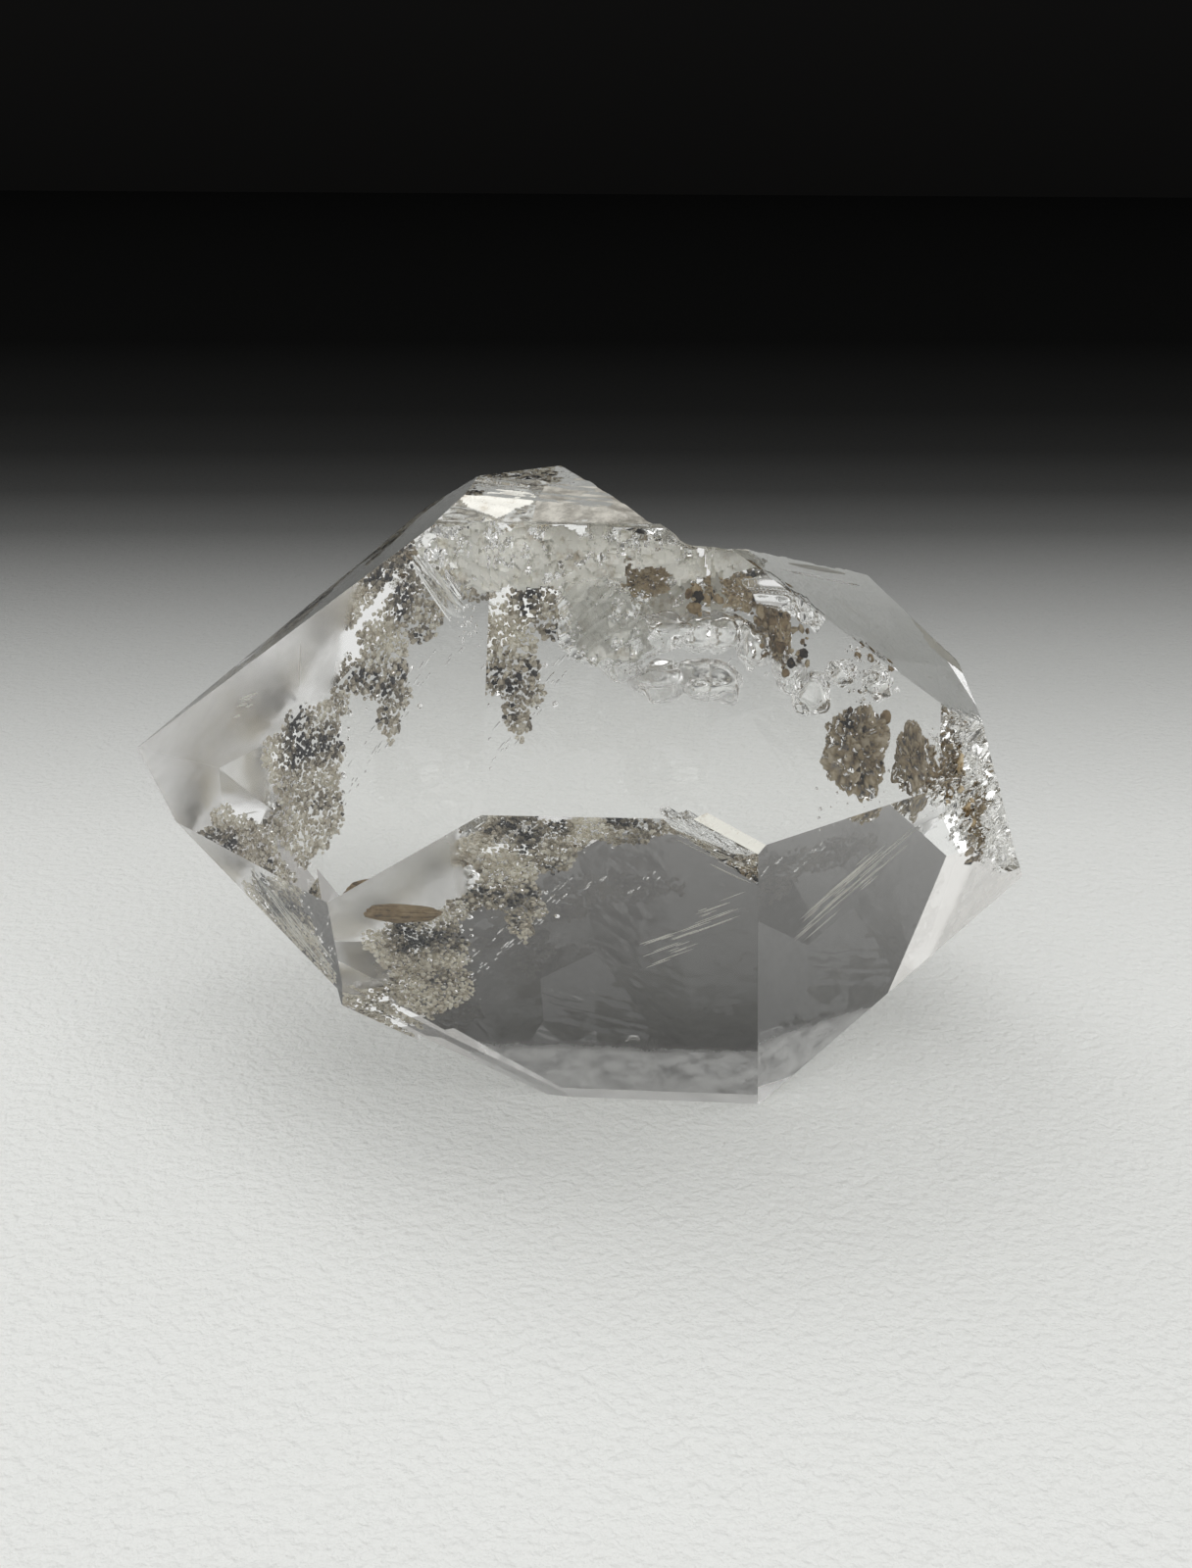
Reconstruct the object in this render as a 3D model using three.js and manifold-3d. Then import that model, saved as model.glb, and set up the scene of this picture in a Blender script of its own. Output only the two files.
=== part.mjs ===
// A doubly terminated quartz crystal with clay and grain inclusions.
// Millimetres, +Z up. The crystal lies on one prism face; its long axis runs along X, and the
// origin is the middle of its footprint, on the surface that it rests on.
import * as THREE from 'three';
import Module from 'manifold-3d';
import { ConvexGeometry } from 'three/addons/geometries/ConvexGeometry.js';
import { mergeVertices, toCreasedNormals } from 'three/addons/utils/BufferGeometryUtils.js';

const wasm = await Module();
wasm.setup();

// Added to an item's number for its second random draw.
const SECOND_DRAW = 200;

// Half the size of the space around the crystal in which blocks are cut away.
const ROOM = 40;

// Growth faces. turn is the angle of a face around the long axis (90 up, -90 down, 30 and -30
// towards the front), lean is how far it tips to the right end (plus) or the left end (minus),
// and distance is how far it lies from the origin. Ideal quartz has turns 60 degrees apart and
// terminations that lean 38.2 degrees.
const PRISM_FACES = {
  upperFront: { turn: 30, lean: 0, distance: 17.16 },
  lowerFront: { turn: -31, lean: 0.7, distance: 3.26 },
  bottom: { turn: -90, lean: 0, distance: 0 },
  lowerBack: { turn: 210, lean: 0, distance: 3.92 },
  upperBack: { turn: 150, lean: 0, distance: 16.82 },
  top: { turn: 90, lean: 0, distance: 20.93 },
};
const LEFT_FACES = {
  upperFront: { turn: 29.3, lean: -37.6, distance: 14.61 },
  lowerFront: { turn: -28.7, lean: -38.5, distance: 7.26 },
  bottom: { turn: -89.6, lean: -37.8, distance: 0.87 },
  lowerBack: { turn: 210, lean: -38.2, distance: 6.95 },
  upperBack: { turn: 150, lean: -38.2, distance: 12.87 },
  top: { turn: 90.5, lean: -38.7, distance: 18.3 },
};
const RIGHT_FACES = {
  upperFront: { turn: 30.8, lean: 37.7, distance: 16.41 },
  lowerFront: { turn: -30.1, lean: 38.5, distance: 6.41 },
  bottom: { turn: -90.3, lean: 39, distance: 4.03 },
  lowerBack: { turn: 210, lean: 38.2, distance: 8.1 },
  upperBack: { turn: 150.1, lean: 38.4, distance: 15.12 },
  top: { turn: 89.8, lean: 39.6, distance: 18.76 },
};
// Narrow bevels along two edges, the steep back of the crest, and the snapped right tip.
const WORN_FACES = {
  lowEdge: { turn: -35.3, lean: -3.5, distance: 3.1 },
  cornerEdge: { turn: -9.3, lean: 18.4, distance: 10.4 },
  crestBack: { turn: 108.1, lean: -13.2, distance: 19.61 },
  rightTip: { turn: 96.1, lean: 71.2, distance: 16.51 },
};

// Broken places. Each is the block of space outside all of its planes.
const CREST_BREAK = [
  { turn: 110.1, lean: 37, distance: 15.3 },
  { turn: 107.4, lean: 0.3, distance: 17.07 },
];
const END_WALL = { turn: 8.1, lean: 64.2, distance: 13.58 };
const END_SHELF = { turn: 75, lean: 33.9, distance: 14.32 };
// The lower left face stands proud in one band and steps in on both sides of it. Each ledge is
// the part of the face between two places on the long axis, at its own distance.
const LOWER_LEDGES = [
  { distance: 0.27, from: -ROOM, to: -7.3 },
  { distance: 0.57, from: -5, to: ROOM },
];

// Scooped chips along the crest and on worn edges: place and radii.
const CHIPS = [
  { at: [-1.6, -4.6, 22.2], radii: [2.4, 1.5, 1.9] },
  { at: [1.1, -4.3, 22], radii: [1.7, 1.3, 1.6] },
  { at: [-3.4, -4.4, 21.9], radii: [1, 1.2, 1.5] },
  { at: [2.2, -5.9, 22.1], radii: [1.3, 1, 1.5] },
  { at: [0.4, -2.1, 21.9], radii: [1.2, 0.9, 1.3] },
  { at: [8.4, 3.6, 17.9], radii: [2, 0.7, 0.6] },
  { at: [12.2, 1.3, 14.9], radii: [0.7, 0.7, 0.9] },
  { at: [-6.5, -7.6, 4.9], radii: [0.7, 0.5, 0.6] },
  { at: [-5.2, -6.6, 3.6], radii: [0.6, 0.5, 0.4] },
  { at: [-15.3, -1.6, 11.4], radii: [0.35, 0.4, 0.35] },
];

// Rough knobs and pits on the broken right end, in rings about the middle of its wall.
const END_MIDDLE = [13.1, -3, 11];
const END_BUMPS = 0.3;
const END_FLATNESS = 0.8;
const END_RINGS = [
  { count: 5, ring: 1.1, radius: 0.6 },
  { count: 9, ring: 2.3, radius: 0.5 },
  { count: 12, ring: 3.5, radius: 0.45 },
];
const END_SQUEEZE = 0.6;
const END_LEAST = 0.7;
const RING_SEEDS = 20;
const END_VARIETY = 0.6;

// The waves that make a pebble lumpy: how fast each runs along X, Y and Z, and how much the
// pebble's seed shifts it.
const PEBBLE_WAVES = [
  { speed: [3.1, 0, 2.3], shift: 1 },
  { speed: [-3.3, 4.7, 0], shift: 2 },
  { speed: [0, 4.1, 5.9], shift: 3 },
];
const CLAY_BUMPS = 0.3;
const LOBE_BUMPS = 0.25;
const CHIP_BUMPS = 0.3;

// Clearance between an inclusion and the quartz around it.
const CLEARANCE = 0.35;
const ROOM_CLEARANCE = 0.45;

// Clay lumps in the chain of cavities under the upper right face. normal is the direction in
// which a lump is flattened.
const UNDER_FACE = RIGHT_FACES.upperFront;
const CLAY = {
  large_clay_clump: { at: [8.32, -6.26, 13.67], radii: [1.15, 0.75, 1.35], seed: 3 },
  small_clay_clump: { at: [10.26, -5.43, 13.05], radii: [0.62, 0.55, 1.05], seed: 8 },
  drip_clay: { at: [5.9, -6.4, 17.4], radii: [0.45, 0.4, 1], seed: 13 },
  top_clay_clump: { at: [4.85, -6.6, 18.6], radii: [0.65, 0.4, 0.5], seed: 21 },
  ridge_clay: { at: [2.51, -6.1, 18.65], radii: [0.6, 0.4, 0.4], seed: 34 },
  upper_end_clay: { at: [11.75, -4.3, 13], radii: [0.38, 0.35, 0.7], seed: 55 },
  lower_end_clay: { at: [12.6, -2.15, 10.4], radii: [0.45, 0.38, 0.75], seed: 89 },
};
// Empty lobes of the same chain of cavities.
const EMPTY_LOBES = [
  { at: [8.85, -5.3, 15.4], radii: [0.85, 0.55, 0.85] },
  { at: [6.9, -6.5, 15.8], radii: [0.8, 0.6, 0.9] },
  { at: [4.7, -7.4, 16.75], radii: [0.9, 0.6, 0.6] },
  { at: [3.5, -7.75, 16.9], radii: [0.8, 0.6, 0.5] },
];
// The chain, from the ridge down to the broken end: each pair of places is joined by a neck.
const NECK_RADIUS = 0.5;
const NECK_SIDES = 7;
const CHAIN = [
  CLAY.ridge_clay.at, CLAY.top_clay_clump.at, CLAY.drip_clay.at, EMPTY_LOBES[1].at,
  CLAY.large_clay_clump.at, CLAY.small_clay_clump.at, CLAY.upper_end_clay.at,
];
const SIDE_NECKS = [
  [EMPTY_LOBES[0].at, CLAY.large_clay_clump.at],
  [EMPTY_LOBES[2].at, CLAY.drip_clay.at],
  [EMPTY_LOBES[3].at, EMPTY_LOBES[2].at],
];

// The grain veil: a healed crack full of grains, an almost upright sheet inside the left half.
// Its outline is in X and Z; its Y follows a slope.
const VEIL_OUTLINE = [
  [-5.2, 12.2], [-4.4, 13], [-3.1, 13.7], [-1.2, 13.3], [2.6, 13.7], [3.3, 12.9], [0, 12.5],
  [-0.8, 11.3], [-1.9, 10.9], [-1.5, 9.2], [-2.2, 7.8], [-3.1, 9], [-4.2, 9.3], [-4.5, 8],
  [-4.1, 5.2], [-5.3, 4], [-7, 3.4], [-8.5, 5.1], [-7.3, 5.8], [-8.2, 8.4], [-7.2, 9.5],
  [-5.2, 9.7], [-4.3, 10.6],
];
const VEIL_Y = 6.93;
const VEIL_SLOPE = 0.38;
const VEIL_LEVEL = 8;
const VEIL_START = [-9, 3];
const VEIL_ROWS = 14;
const VEIL_STEP = 1.05;
const VEIL_JITTER = 0.3;
const GRAIN_RADIUS = 0.78;
const GRAIN_LEAST = 0.9;
const GRAIN_VARIETY = 0.25;
const GRAIN_FLATNESS = 0.75;
const GRAIN_BUMPS = 0.1;

// Edges sharper than this many radians are drawn crisp.
const CREASE_ANGLE = 0.3;

const COLOURS = { quartz: 0xdfe3e2, clay: 0x6f5f45, grains: 0x8b8779 };

// The outward direction of a face.
function faceNormal({ turn, lean }) {
  const t = THREE.MathUtils.degToRad(turn);
  const l = THREE.MathUtils.degToRad(lean);
  return new THREE.Vector3(Math.sin(l), -Math.cos(l) * Math.cos(t), Math.cos(l) * Math.sin(t));
}

// A repeatable value between 0 and 1 for a whole number.
function scatter(index) {
  const wave = Math.sin(index * 127.1 + 11.7) * 43758.5453;
  return wave - Math.floor(wave);
}

// The point where three planes meet, or null where they don't.
function meetingPoint(a, b, c) {
  const cross = new THREE.Vector3().crossVectors(b.normal, c.normal);
  const volume = a.normal.dot(cross);
  if (Math.abs(volume) < 1e-6) return null;
  const point = cross.multiplyScalar(a.distance);
  point.addScaledVector(new THREE.Vector3().crossVectors(c.normal, a.normal), b.distance);
  point.addScaledVector(new THREE.Vector3().crossVectors(a.normal, b.normal), c.distance);
  return point.divideScalar(volume);
}

// The corners of the convex body inside all of the given planes.
function cornersInside(planes) {
  const corners = [];
  for (let i = 0; i < planes.length; i += 1) {
    for (let j = i + 1; j < planes.length; j += 1) {
      for (let k = j + 1; k < planes.length; k += 1) {
        const point = meetingPoint(planes[i], planes[j], planes[k]);
        const inside = point && planes.every((p) => p.normal.dot(point) <= p.distance + 1e-5);
        if (inside && corners.every((c) => c.distanceTo(point) > 1e-3)) corners.push(point);
      }
    }
  }
  return corners;
}

function plane(face) {
  return { normal: faceNormal(face), distance: face.distance };
}

// The same plane with its outside turned in.
function flipped(face) {
  return { normal: faceNormal(face).negate(), distance: -face.distance };
}

// A roomy box around the crystal, so that a break has an end.
function roomPlanes(reach) {
  const axes = [new THREE.Vector3(1, 0, 0), new THREE.Vector3(0, 1, 0), new THREE.Vector3(0, 0, 1)];
  return axes.flatMap((axis) => [
    { normal: axis, distance: reach },
    { normal: axis.clone().negate(), distance: reach },
  ]);
}

function toManifold(geometry) {
  const bare = new THREE.BufferGeometry();
  bare.setAttribute('position', geometry.getAttribute('position').clone());
  if (geometry.index) bare.setIndex(geometry.index.clone());
  const merged = mergeVertices(bare, 1e-4);
  return new wasm.Manifold(new wasm.Mesh({
    numProp: 3,
    vertProperties: new Float32Array(merged.getAttribute('position').array),
    triVerts: new Uint32Array(merged.index.array),
  }));
}

function toGeometry(solid) {
  const mesh = solid.getMesh();
  const geometry = new THREE.BufferGeometry();
  geometry.setAttribute('position', new THREE.BufferAttribute(mesh.vertProperties, 3));
  geometry.setIndex(new THREE.BufferAttribute(mesh.triVerts, 1));
  return toCreasedNormals(geometry, CREASE_ANGLE);
}

function convexSolid(planes) {
  return toManifold(new ConvexGeometry(cornersInside(planes)));
}

// The mean of a pebble's waves in one direction from its middle, from -1 to 1.
function pebbleWave(point, seed) {
  const waves = PEBBLE_WAVES.map(({ speed, shift }) => {
    const along = point.dot(new THREE.Vector3(...speed));
    return Math.sin(along + shift * seed);
  });
  return waves.reduce((sum, wave) => sum + wave, 0) / waves.length;
}

// A lumpy pebble: an icosphere pushed in and out by its waves, stretched to its radii, with its
// front turned to the given direction.
function pebble({ at, radii, seed = 1 }, { detail = 2, bumps = 0, grow = 0, facing = null } = {}) {
  const geometry = new THREE.IcosahedronGeometry(1, detail);
  const place = geometry.getAttribute('position');
  const point = new THREE.Vector3();
  const turnTo = new THREE.Quaternion();
  if (facing) turnTo.setFromUnitVectors(new THREE.Vector3(0, -1, 0), facing);
  for (let i = 0; i < place.count; i += 1) {
    point.fromBufferAttribute(place, i).normalize();
    const push = 1 + bumps * pebbleWave(point, seed);
    point.set(
      point.x * (radii[0] * push + grow),
      point.y * (radii[1] * push + grow),
      point.z * (radii[2] * push + grow),
    );
    point.applyQuaternion(turnTo).add(new THREE.Vector3(...at));
    place.setXYZ(i, point.x, point.y, point.z);
  }
  return toManifold(geometry);
}

// A neck between two places: a straight bar with a few sides.
function neck(from, to) {
  const start = new THREE.Vector3(...from);
  const end = new THREE.Vector3(...to);
  const span = start.distanceTo(end);
  const geometry = new THREE.CylinderGeometry(NECK_RADIUS, NECK_RADIUS, span, NECK_SIDES, 1);
  const along = end.clone().sub(start).normalize();
  const turnTo = new THREE.Quaternion().setFromUnitVectors(new THREE.Vector3(0, 1, 0), along);
  geometry.applyQuaternion(turnTo);
  const middle = start.add(end).multiplyScalar(0.5);
  geometry.translate(middle.x, middle.y, middle.z);
  return toManifold(geometry);
}

// The whole crystal before anything is broken out of it.
function growthBody() {
  const faces = [PRISM_FACES, LEFT_FACES, RIGHT_FACES, WORN_FACES].flatMap((set) => Object.values(set));
  return convexSolid(faces.map(plane));
}

function breakBlock(faces, extra = []) {
  return convexSolid([...faces.map(flipped), ...extra, ...roomPlanes(ROOM)]);
}

// Places in rings over the wall of the broken end, with a size for each.
function endPlaces() {
  const normal = faceNormal(END_WALL);
  const side = new THREE.Vector3(0, 0, 1).cross(normal).normalize();
  const rise = normal.clone().cross(side);
  const middle = new THREE.Vector3(...END_MIDDLE);
  middle.addScaledVector(normal, END_WALL.distance - normal.dot(middle));
  return END_RINGS.flatMap(({ count, ring, radius }, r) => Array.from({ length: count }, (_, i) => {
    const index = RING_SEEDS * r + i;
    const angle = (2 * Math.PI * (i + 0.5 * scatter(index))) / count;
    const place = middle.clone();
    place.addScaledVector(side, END_SQUEEZE * ring * Math.cos(angle));
    place.addScaledVector(rise, ring * Math.sin(angle));
    const size = radius * (END_LEAST + END_VARIETY * scatter(index + SECOND_DRAW));
    return { at: place.toArray(), size, seed: index };
  }));
}

// The broken right end: a wall and a shelf cut back, with rough pits and knobs on the wall.
function breakRightEnd(body) {
  let end = body.subtract(breakBlock([END_WALL, END_SHELF]));
  const knobs = [];
  endPlaces().forEach(({ at, size, seed }, i) => {
    const radii = [size, size, size * END_FLATNESS];
    const lump = pebble({ at, radii, seed }, { detail: 1, bumps: END_BUMPS });
    if (i % 2) knobs.push(lump);
    else end = end.subtract(lump);
  });
  return end.add(wasm.Manifold.union(knobs).intersect(body));
}

function chipCrystal(body) {
  return CHIPS.reduce((left, chip, i) => {
    const scoop = pebble({ ...chip, seed: i + 2 }, { bumps: CHIP_BUMPS });
    return left.subtract(scoop);
  }, body);
}

// The inside of an outline, by counting the sides to its right.
function insideOutline(x, z, outline) {
  let inside = false;
  outline.forEach(([x1, z1], i) => {
    const [x2, z2] = outline[(i + 1) % outline.length];
    const crosses = (z1 > z) !== (z2 > z);
    if (crosses && x < x1 + ((z - z1) * (x2 - x1)) / (z2 - z1)) inside = !inside;
  });
  return inside;
}

// Grains in staggered rows over the outline, each a rough pebble that overlaps its neighbours.
function veilGrains(grow) {
  const grains = [];
  const rowStep = VEIL_STEP * Math.sin(Math.PI / 3);
  let index = 0;
  for (let row = 0; row < VEIL_ROWS; row += 1) {
    for (let column = 0; column < VEIL_ROWS; column += 1) {
      index += 1;
      const x = VEIL_START[0] + (column + 0.5 * (row % 2)) * VEIL_STEP;
      const z = VEIL_START[1] + row * rowStep;
      if (insideOutline(x, z, VEIL_OUTLINE)) {
        const y = VEIL_Y + VEIL_SLOPE * (z - VEIL_LEVEL) + VEIL_JITTER * (scatter(index) - 0.5);
        const radius = GRAIN_RADIUS * (GRAIN_LEAST + GRAIN_VARIETY * scatter(index + SECOND_DRAW));
        const shape = { at: [x, y, z], radii: [radius, radius * GRAIN_FLATNESS, radius], seed: index };
        grains.push(pebble(shape, { detail: 0, bumps: GRAIN_BUMPS, grow }));
      }
    }
  }
  return wasm.Manifold.union(grains);
}

function grainVeil(body) {
  return veilGrains(0).intersect(body);
}

function clayLump(name) {
  const facing = faceNormal(UNDER_FACE);
  return pebble(CLAY[name], { bumps: CLAY_BUMPS, facing });
}

// The chain of cavities that holds the clay and opens at the broken end.
function cavityChain() {
  const facing = faceNormal(UNDER_FACE);
  const roomShape = { detail: 1, bumps: CLAY_BUMPS, grow: ROOM_CLEARANCE, facing };
  const rooms = Object.values(CLAY).map((lump) => pebble(lump, roomShape));
  const lobeShape = { bumps: LOBE_BUMPS, facing };
  const lobes = EMPTY_LOBES.map((lobe, i) => pebble({ ...lobe, seed: i + 5 }, lobeShape));
  const necks = CHAIN.slice(1).map((place, i) => neck(CHAIN[i], place));
  const sideNecks = SIDE_NECKS.map(([from, to]) => neck(from, to));
  return wasm.Manifold.union([...rooms, ...lobes, ...necks, ...sideNecks]);
}

function quartzCrystal() {
  let body = growthBody().subtract(breakBlock(CREST_BREAK));
  for (const { distance, from, to } of LOWER_LEDGES) {
    const ends = [
      { normal: new THREE.Vector3(1, 0, 0), distance: to },
      { normal: new THREE.Vector3(-1, 0, 0), distance: -from },
    ];
    body = body.subtract(breakBlock([{ ...LEFT_FACES.bottom, distance }], ends));
  }
  body = chipCrystal(breakRightEnd(body));
  const veil = grainVeil(body);
  body = body.subtract(cavityChain()).subtract(veilGrains(CLEARANCE));
  return { body, veil };
}

function quartzMaterial() {
  return new THREE.MeshStandardMaterial({
    color: COLOURS.quartz, roughness: 0.05, metalness: 0, transparent: true, opacity: 0.4,
  });
}

function clayMaterial() {
  return new THREE.MeshStandardMaterial({ color: COLOURS.clay, roughness: 0.9, metalness: 0 });
}

function grainMaterial() {
  return new THREE.MeshStandardMaterial({ color: COLOURS.grains, roughness: 0.7, metalness: 0 });
}

function namedMesh(name, solid, material) {
  const mesh = new THREE.Mesh(toGeometry(solid), material);
  mesh.name = name;
  return mesh;
}

const specimen = new THREE.Group();
const { body, veil } = quartzCrystal();
specimen.add(namedMesh('crystal', body, quartzMaterial()));
specimen.add(namedMesh('grain_veil', veil, grainMaterial()));
for (const name of Object.keys(CLAY)) {
  specimen.add(namedMesh(name, clayLump(name), clayMaterial()));
}

export default specimen;
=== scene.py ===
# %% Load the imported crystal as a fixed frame
import bmesh
import bpy
import numpy as np
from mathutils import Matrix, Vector


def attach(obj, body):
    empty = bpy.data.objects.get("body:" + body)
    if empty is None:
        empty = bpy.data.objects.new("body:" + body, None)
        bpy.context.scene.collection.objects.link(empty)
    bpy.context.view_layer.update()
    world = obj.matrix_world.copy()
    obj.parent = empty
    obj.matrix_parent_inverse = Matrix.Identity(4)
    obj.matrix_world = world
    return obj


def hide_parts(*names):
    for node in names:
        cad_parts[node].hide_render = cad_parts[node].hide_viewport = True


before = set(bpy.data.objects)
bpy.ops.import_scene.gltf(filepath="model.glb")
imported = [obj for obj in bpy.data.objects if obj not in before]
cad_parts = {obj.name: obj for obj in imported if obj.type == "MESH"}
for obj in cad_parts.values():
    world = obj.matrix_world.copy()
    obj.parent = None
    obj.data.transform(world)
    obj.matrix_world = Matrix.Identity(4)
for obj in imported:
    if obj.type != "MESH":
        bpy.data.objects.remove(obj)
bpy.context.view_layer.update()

MM = 0.001
# A length or a determinant below this counts as none.
NEARLY_ZERO = 1e-6
scene = bpy.context.scene

# %% [markdown]
# The crystal grew as a six-sided prism with a six-sided point at each end, so nearly all of it
# is flat. A flat face needs no grid of points: it is enough to say which way it faces and how
# far out it lies. turn is its angle round the long axis (90 is up, 30 faces up and forwards),
# lean is how far it tips towards the right end, and the distance is from the origin, in mm.
# Real faces are a degree or so off the ideal, and these follow the real ones.

# %% The growth faces
FACES = {
    "prism_upper_front": (30.0, 0.0, 17.16),
    "prism_lower_front": (-31.0, 0.7, 3.26),
    "prism_bottom": (-90.0, 0.0, 0.0),
    "prism_lower_back": (210.0, 0.0, 3.92),
    "prism_upper_back": (150.0, 0.0, 16.82),
    "prism_top": (90.0, 0.0, 20.93),
    "left_upper_front": (29.3, -37.6, 14.61),
    "left_lower_front": (-28.7, -38.5, 7.26),
    "left_bottom": (-89.6, -37.8, 0.87),
    "left_lower_back": (210.0, -38.2, 6.95),
    "left_upper_back": (150.0, -38.2, 12.87),
    "left_top": (90.5, -38.7, 18.3),
    "right_upper_front": (30.8, 37.7, 16.41),
    "right_lower_front": (-30.1, 38.5, 6.41),
    "right_bottom": (-90.3, 39.0, 4.03),
    "right_lower_back": (210.0, 38.2, 8.1),
    "right_upper_back": (150.1, 38.4, 15.12),
    "right_top": (89.8, 39.6, 18.76),
    "low_edge": (-35.3, -3.5, 3.1),
    "corner_edge": (-9.3, 18.4, 10.4),
    "crest_back": (108.1, -13.2, 19.61),
    "right_tip": (96.1, 71.2, 16.51),
}
# The lower left face steps in on both sides of a proud band: distance, and the stretch of X.
LOWER_LEDGES = ((0.27, -40.0, -7.3), (0.57, -5.0, 40.0))
# Places where the crystal is broken: what lies outside of both faces of a pair is gone.
CREST_BREAK = ((110.1, 37.0, 15.3), (107.4, 0.3, 17.07))
END_BREAK = ((8.1, 64.2, 13.58), (75.0, 33.9, 14.32))


def face_normal(turn, lean):
    """The outward direction of a face: along X it is the sine of the lean, and the rest points
    round the long axis by the turn."""
    turn, lean = np.radians(turn), np.radians(lean)
    return np.array([np.sin(lean), -np.cos(lean) * np.cos(turn), np.cos(lean) * np.sin(turn)])


def plane_of(face):
    """A face as (outward direction, distance in metres)."""
    turn, lean, distance = face
    return face_normal(turn, lean), distance * MM


def tangents(normal):
    """Two directions in a face: level, which is the cross product of straight up and the outward
    direction, and up the slope, which is the cross product of that direction and level."""
    level = np.cross([0.0, 0.0, 1.0], normal)
    length = np.linalg.norm(level)
    level = level / length if length > NEARLY_ZERO else np.array([1.0, 0.0, 0.0])
    return level, np.cross(normal, level)


print(len(FACES), "faces")

# %% [markdown]
# The solid is everything that lies inside all of the faces. Its corners are the points where
# three faces meet, kept where no other face cuts them off. A face's outline is then the corners
# that lie on it, in order round its middle.


# %% A solid from its faces
# In metres: how far past a face rounding may put a corner, and how near to a face is on it.
ROUNDING, TOUCHING = 1e-9, 1e-7


def mesh_object(name, points, polygons):
    """A new object at the origin, from points in metres and lists of corners."""
    mesh = bpy.data.meshes.new(name)
    mesh.from_pydata(np.asarray(points).tolist(), [], [[int(c) for c in p] for p in polygons])
    obj = bpy.data.objects.new(name, mesh)
    scene.collection.objects.link(obj)
    return obj


def solid_inside(name, planes):
    """Corners are the solutions of three plane equations at a time, without those past any
    plane. Each face's outline is its corners sorted by angle round their mean."""
    normals = np.array([n for n, _ in planes])
    distances = np.array([d for _, d in planes])
    count = len(planes)
    triples = np.array([(i, j, k) for i in range(count) for j in range(i) for k in range(j)])
    systems = normals[triples]
    sound = np.abs(np.linalg.det(systems)) > NEARLY_ZERO
    triples = triples[sound]
    corners = np.linalg.solve(systems[sound], distances[triples][..., None])[..., 0]
    inside = (corners @ normals.T <= distances + ROUNDING).all(axis=1)
    corners = np.unique(np.round(corners[inside], 8), axis=0)
    polygons = []
    for normal, distance in planes:
        on_face = np.flatnonzero(np.abs(corners @ normal - distance) < TOUCHING)
        if len(on_face) < 3:
            continue
        level, slope = tangents(normal)
        spread = corners[on_face] - corners[on_face].mean(axis=0)
        order = np.argsort(np.arctan2(spread @ slope, spread @ level))
        polygons.append(on_face[order])
    return mesh_object(name, corners, polygons)


crystal = solid_inside("quartz", [plane_of(face) for face in FACES.values()])
print("growth solid:", len(crystal.data.vertices), "corners,", len(crystal.data.polygons), "faces")

# %% [markdown]
# Broken quartz has curved, stepped and pitted surfaces. Each broken place is cut with a slab
# whose underside is a height map: a grid over a tilted plane, raised or lowered by a formula.
# Random but repeatable roughness comes from value noise: random heights at whole-numbered grid
# points, blended smoothly in between, with finer and fainter layers added on top.


# %% Noise on whole arrays
def hashed(cells, seed):
    """A repeatable value from 0 to 1 for each row of whole numbers: the fraction left over from
    a large multiple of a sine."""
    weights = np.array([127.1, 311.7, 74.7])[: cells.shape[-1]]
    wave = np.sin(cells @ weights + 17.3 * seed) * 43758.5453
    return wave - np.floor(wave)


def value_noise(points, seed=0, layers=3, fade=0.5):
    """Layered noise from -1 to 1 at each point: the hashed heights of the surrounding grid
    points, blended by smooth weights, each layer twice as fine and fainter by fade."""
    points = np.asarray(points, float)
    size = points.shape[-1]
    corners = np.array(np.meshgrid(*[[0, 1]] * size, indexing="ij")).reshape(size, -1).T
    total = np.zeros(points.shape[:-1])
    strength, reach = 1.0, 0.0
    for layer in range(layers):
        scaled = points * 2.0 ** layer
        cell = np.floor(scaled)
        part = scaled - cell
        part = part * part * (3 - 2 * part)
        for corner in corners:
            weight = np.prod(np.where(corner == 1, part, 1 - part), axis=-1)
            total += strength * weight * (2 * hashed(cell + corner, seed + 31 * layer) - 1)
        reach += strength
        strength *= fade
    return total / reach


SAMPLE = np.array([[0.3, 0.7], [2.1, 4.4]])
print("noise sample", value_noise(SAMPLE, 1).round(3))

# %% [markdown]
# Noise alone looks like melted glass. Broken quartz has small flat facets with ledges between
# them, so a second formula gives each place the tilted plane of the nearest of many scattered
# centres. A third one tells which places lie inside an outline.


# %% Facets and outlines
def broken_facets(points, seed, tilt=0.35, step=0.25):
    """Small flat facets with ledges between them: every point belongs to the nearest of the
    jittered grid centres, and lies on that centre's own tilted plane."""
    farther_than_any = 9.0
    cell = np.floor(points)
    nearest = np.full(points.shape[:-1], farther_than_any)
    height = np.zeros(points.shape[:-1])
    for dx in (-1, 0, 1):
        for dy in (-1, 0, 1):
            home = cell + np.array([dx, dy])
            jitter = np.stack([hashed(home, seed), hashed(home, seed + 5)], axis=-1)
            offset = points - (home + 0.1 + 0.8 * jitter)
            gap = (offset ** 2).sum(axis=-1)
            slope = np.stack([hashed(home, seed + 9), hashed(home, seed + 13)], axis=-1) - 0.5
            plane = 2 * tilt * (offset * slope).sum(axis=-1) + step * hashed(home, seed + 21)
            closer = gap < nearest
            height = np.where(closer, plane, height)
            nearest = np.minimum(nearest, gap)
    return height


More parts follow.
